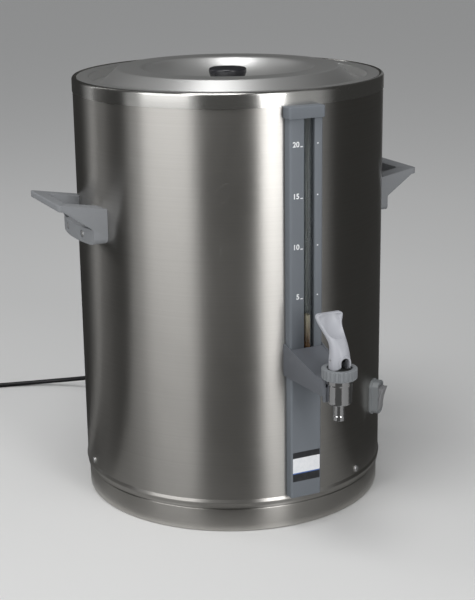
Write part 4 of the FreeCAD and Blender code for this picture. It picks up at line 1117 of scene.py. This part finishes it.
@dataclass
class MainsLead:
    """Mains lead with its gland, put-away coil, tie and plug."""

    radius: float = 0.0032
    route: tuple[tuple[float, float, float], ...] = (
        (0.0, 0.224, 0.053),
        (0.0, 0.256, 0.053),
        (-0.006, 0.292, 0.048),
        (-0.022, 0.330, 0.0365),
        (-0.045, 0.368, 0.0225),
        (-0.072, 0.404, 0.012),
        (-0.108, 0.431, 0.0057),
        (-0.147, 0.447, 0.0034),
        (-0.183, 0.456, 0.0034),
        (-0.214, 0.4585, 0.0042),
        (-0.245, 0.4585, 0.0042),
    )
    coil_r: float = 0.049
    coil_pitch: float = 0.007
    coil_loops: int = 6
    coil_climb: float = 0.5
    points_per_loop: int = 20
    tail_steps: tuple[tuple[float, float], ...] = ((0.024, 0.0), (0.026, 0.003), (0.024, 0.004))
    plug_reach: float = 0.008

    def slant(self) -> float:
        """Angle by which the coil's first turn leaves a circle."""
        return math.atan(self.coil_pitch / (2 * math.pi * self.coil_r))

    def coil_points(self) -> list[Vector]:
        """Turns of the coil: in on the lower layer, up, and out on the upper one."""
        turns = self.coil_loops + self.slant() / math.pi
        entry = Vector(self.route[-1])
        slant = self.slant()
        shift = Vector((-2 * self.radius - self.coil_r * math.sin(slant), self.coil_r * math.cos(slant), 0))
        centre = entry + shift
        count = round(turns * self.points_per_loop)
        points = []
        for i in range(count + 1):
            t = turns * i / count
            angle = -math.pi / 2 + slant - 2 * math.pi * t
            reach = self.coil_r - self.coil_pitch * (turns / 2 - abs(t - turns / 2))
            share = min(max((t - turns / 2) / self.coil_climb + 0.5, 0.0), 1.0)
            rise = self.coil_pitch * share * share * (3 - 2 * share)
            points.append(centre + Vector((reach * math.cos(angle), reach * math.sin(angle), rise)))
        return points

    def tail_points(self, start: Vector) -> list[Vector]:
        """Route from the end of the coil to the plug."""
        points = [start + Vector((-2 * self.radius, 0, 0))]
        for run, rise in self.tail_steps:
            points.append(points[-1] + Vector((-run, 0, rise)))
        points.append(points[-1] + Vector((-2 * self.radius - self.plug_reach, 0, 0)))
        return points

    def build(self) -> None:
        coil = self.coil_points()
        places = [Vector(p) for p in self.route] + coil + self.tail_points(coil[-1])
        line = bpy.data.curves.new("mains_lead", "CURVE")
        line.dimensions = "3D"
        line.resolution_u = 6
        line.bevel_depth = self.radius
        line.bevel_resolution = 5
        line.use_fill_caps = True
        spline = line.splines.new("NURBS")
        spline.points.add(len(places) - 1)
        for point, place in zip(spline.points, places):
            point.co = (*place, 1.0)
        spline.order_u = 3
        spline.use_endpoint_u = True
        line.materials.append(CORD_SHEATH.material())
        lead = put("mains_lead", line)
        settle(lead, Body.URN, ["cord_lead", "cord_coil", "cord_tail"])
        dress(["cord_gland", "power_plug"], CORD_SHEATH)
        dress(["cord_tie"], TIE_PLASTIC)
        dress(["plug_pins"], PIN_METAL)

    @staticmethod
    def length(spline: bpy.types.Spline) -> float:
        """Length of the lead along its own line."""
        return spline.calc_length()


@dataclass
class Studio:
    """Camera, pale floor, soft lights and the dark cards that the steel reflects."""

    lens: float = 84.67
    sensor: float = 36.0
    sight_end: float = 100.0
    camera_at: tuple[float, float, float] = (-0.7291, -1.5285, 0.7171)
    pitch: float = -0.2805
    yaw: float = 0.0049
    roll: float = -0.0128
    turn_deg: float = 25.5
    floor_half: float = 20.0
    floor_colour: Colour = (0.72, 0.72, 0.715)
    world_colour: Colour = (0.83, 0.84, 0.85)
    world_strength: float = 0.42
    lamp_aim_z: float = 0.28
    flag_r: float = 0.95
    flag_h: float = 1.9
    flag_core: float = 0.78
    flag_fade_h: float = 0.3
    flag_foot_r: tuple[float, float, float] = (0.192, 0.2, 0.26)
    flag_foot_z: float = 0.0008
    flag_steps: int = 24
    ceiling_r: float = 1.9
    ceiling_z: float = 2.75
    ceiling_tone: float = 0.07
    card_r: tuple[float, float] = (0.19, 1.7)
    card_z: float = 0.0005
    card_tone: float = 0.08
    card_cover: float = 0.72
    card_steps: int = 96
    card_core: float = 0.7
    lamps: tuple[tuple[str, float, float, float, tuple[float, float], float], ...] = (
        ("key_box", -70.0, 2.3, 1.3, (1.7, 1.9), 22.0),
        ("front_box", 5.0, 2.6, 1.1, (0.8, 1.9), 24.0),
        ("left_box", -133.0, 2.3, 1.3, (0.4, 1.8), 6.0),
        ("top_box", -46.0, 0.75, 2.4, (0.95, 0.95), 18.0),
    )
    flags: tuple[tuple[str, float, float, float], ...] = (
        ("front_flag", -48.0, -3.0, 0.07),
        ("right_flag", 36.0, 134.0, 0.045),
        ("back_flag", 124.0, 226.0, 0.035),
        ("left_flag", -133.0, -95.0, 0.04),
    )

    def build(self) -> None:
        """Sets up the whole studio."""
        self.camera()
        self.floor()
        self.world()
        for lamp in self.lamps:
            self.softbox(*lamp)
        for flag in self.flags:
            self.flag(*flag)
        self.ceiling()
        self.table_card()

    def camera(self) -> None:
        """Camera at the place from which the photograph was taken."""
        level_run = math.cos(self.pitch)
        forward = Vector(
            (math.sin(self.yaw) * level_run, math.cos(self.yaw) * level_run, math.sin(self.pitch))
        )
        right = forward.cross(Vector((0, 0, 1))).normalized()
        up = right.cross(forward)
        level = Matrix((right, up, -forward)).transposed()
        rolled = level @ Matrix.Rotation(self.roll, 3, "Z")
        turned_to_row = Matrix.Rotation(-math.radians(self.turn_deg), 3, "Z")
        data = bpy.data.cameras.new("photo_camera")
        data.lens = self.lens
        data.sensor_width = self.sensor
        data.sensor_fit = "AUTO"
        data.clip_end = self.sight_end
        holder = put("photo_camera", data)
        holder.matrix_world = Matrix.Translation(self.camera_at) @ (turned_to_row @ rolled).to_4x4()
        bpy.context.scene.camera = holder

    def floor(self) -> None:
        """Pale floor that runs out of view."""
        mesh = bmesh.new()
        half = self.floor_half
        places = ((-half, -half), (half, -half), (half, half), (-half, half))
        mesh.faces.new([mesh.verts.new((x, y, 0)) for x, y in places])
        made = bpy.data.materials.new("floor_paper")
        made.use_nodes = True
        surface = made.node_tree.nodes["Principled BSDF"]
        surface.inputs["Base Color"].default_value = (*self.floor_colour, 1.0)
        surface.inputs["Roughness"].default_value = 0.75
        holder = put("studio_floor", mesh_data("studio_floor", mesh))
        holder.data.materials.append(made)

    def world(self) -> None:
        """Even pale surroundings."""
        world = bpy.data.worlds.new("studio_world")
        bpy.context.scene.world = world
        world.use_nodes = True
        back = world.node_tree.nodes["Background"]
        back.inputs[0].default_value = (*self.world_colour, 1.0)
        back.inputs[1].default_value = self.world_strength

    @staticmethod
    def around(azimuth: float, away: float, height: float) -> Vector:
        """Place at an azimuth round the urn, in degrees, 0 in front of the tap."""
        angle = math.radians(azimuth)
        return Vector((math.sin(angle) * away, -math.cos(angle) * away, height))

    def softbox(
        self, name: str, azimuth: float, away: float, height: float, size: tuple[float, float], power: float
    ) -> None:
        """Soft rectangular lamp that looks at the urn."""
        data = bpy.data.lights.new(name, "AREA")
        data.shape = "RECTANGLE"
        data.size, data.size_y = size
        data.energy = power
        spot = self.around(azimuth, away, height)
        aim = Vector((0, 0, self.lamp_aim_z)) - spot
        turn = aim.to_track_quat("-Z", "Y").to_matrix().to_4x4()
        put(name, data).matrix_world = Matrix.Translation(spot) @ turn

    def flag(self, name: str, low: float, high: float, tone: float) -> None:
        """Curved dark flag that only reflections show, with soft upright edges.

        Args:
            name: name of the flag.
            low: azimuth of its left edge in degrees, 0 in front of the tap.
            high: azimuth of its right edge.
            tone: grey of its felt.
        """
        mesh = bmesh.new()
        foot_r, near_from, near_to = self.flag_foot_r
        profile = ((foot_r, self.flag_foot_z), (self.flag_r, self.flag_foot_z), (self.flag_r, self.flag_h))
        rows = []
        for k in range(self.flag_steps + 1):
            azimuth = low + (high - low) * k / self.flag_steps
            rows.append([mesh.verts.new(self.around(azimuth, r, z)) for r, z in profile])
        for row, following in zip(rows, rows[1:]):
            for i in range(len(profile) - 1):
                mesh.faces.new((row[i], following[i], following[i + 1], row[i + 1]))

        def cover(w: Wiring, place: Socket) -> Socket:
            """Thins out towards the upright edges, the top and the foot."""
            split = w.node("ShaderNodeSeparateXYZ", {0: place}).outputs
            middle = math.radians((low + high) / 2)
            across = w.math("MULTIPLY", split[0], math.cos(middle))
            across = w.math("MULTIPLY_ADD", split[1], math.sin(middle), across)
            away = self.from_axis(w, place)
            turn = w.math("ABSOLUTE", w.math("DIVIDE", across, away))
            reach = math.sin(math.radians(high - low) / 2)
            sides = w.ramp(turn, reach, reach * self.flag_core)
            top = w.ramp(split[2], self.flag_h, self.flag_h - self.flag_fade_h)
            return w.math("MULTIPLY", w.math("MULTIPLY", sides, top), w.ramp(away, near_from, near_to))

        self.hang(name, mesh, tone, cover)

    def ceiling(self) -> None:
        """Dark card overhead that only reflections show."""
        mesh = bmesh.new()
        bmesh.ops.create_circle(mesh, cap_ends=True, radius=self.ceiling_r, segments=64)
        bmesh.ops.translate(mesh, verts=mesh.verts, vec=(0.0, 0.0, self.ceiling_z))
        edge = self.ceiling_r
        cover = lambda w, place: w.ramp(self.from_axis(w, place), edge, edge * self.card_core)
        self.hang("ceiling_flag", mesh, self.ceiling_tone, cover)

    def table_card(self) -> None:
        """Half-dark card on the floor round the urn that only reflections show."""
        mesh = bmesh.new()
        rings = []
        for radius in self.card_r:
            ring = bmesh.ops.create_circle(mesh, radius=radius, segments=self.card_steps)["verts"]
            bmesh.ops.translate(mesh, verts=ring, vec=(0.0, 0.0, self.card_z))
            rings.append(ring)
        for k in range(self.card_steps):
            j = (k + 1) % self.card_steps
            mesh.faces.new((rings[0][k], rings[1][k], rings[1][j], rings[0][j]))

        def cover(w: Wiring, place: Socket) -> Socket:
            """Thins out towards the rim."""
            edge = self.card_r[1]
            full = w.ramp(self.from_axis(w, place), edge, edge * self.card_core)
            return w.math("MULTIPLY", full, self.card_cover)

        self.hang("table_card", mesh, self.card_tone, cover)

    @staticmethod
    def from_axis(w: Wiring, place: Socket) -> Socket:
        """Distance from the urn's axis."""
        return w.vector("LENGTH", w.vector("MULTIPLY", place, (1.0, 1.0, 0.0)))

    @staticmethod
    def hang(name: str, mesh: Mesh, tone: float, cover: Callable[[Wiring, Socket], Socket]) -> None:
        """Puts a dark card into the studio, seen by reflections alone.

        Args:
            name: name of the card.
            mesh: its shape; it is freed.
            tone: grey of its felt.
            cover: wires the felt's share from the place: 1 is dark and 0 is clear.
        """
        felt, w = new_material(f"{name}_felt")
        share = cover(w, w.place())
        clear = w.node("ShaderNodeBsdfTransparent").outputs[0]
        dark = w.node("ShaderNodeEmission", {"Color": (tone, tone, tone * 0.97, 1.0), "Strength": 1.0})
        mixed = w.node("ShaderNodeMixShader", {0: share, 1: clear, 2: dark.outputs[0]})
        w.node("ShaderNodeOutputMaterial", {0: mixed.outputs[0]})
        holder = put(name, mesh_data(name, mesh))
        holder.data.materials.append(felt)
        for rays in ("camera", "diffuse", "shadow", "transmission"):
            setattr(holder, f"visible_{rays}", False)


def main() -> None:
    """Builds the urn's looks, one sub-assembly after another."""
    logging.basicConfig(level=logging.INFO)
    bpy.context.scene.view_settings.view_transform = "Standard"
    for assembly in (Studio(), MainsLead(), Shells(), Lid(), Gauge(), Tap(), Handles(), Switch(), Heating()):
        log.info("building %s", type(assembly).__name__)
        assembly.build()


if __name__ == "__main__":
    main()
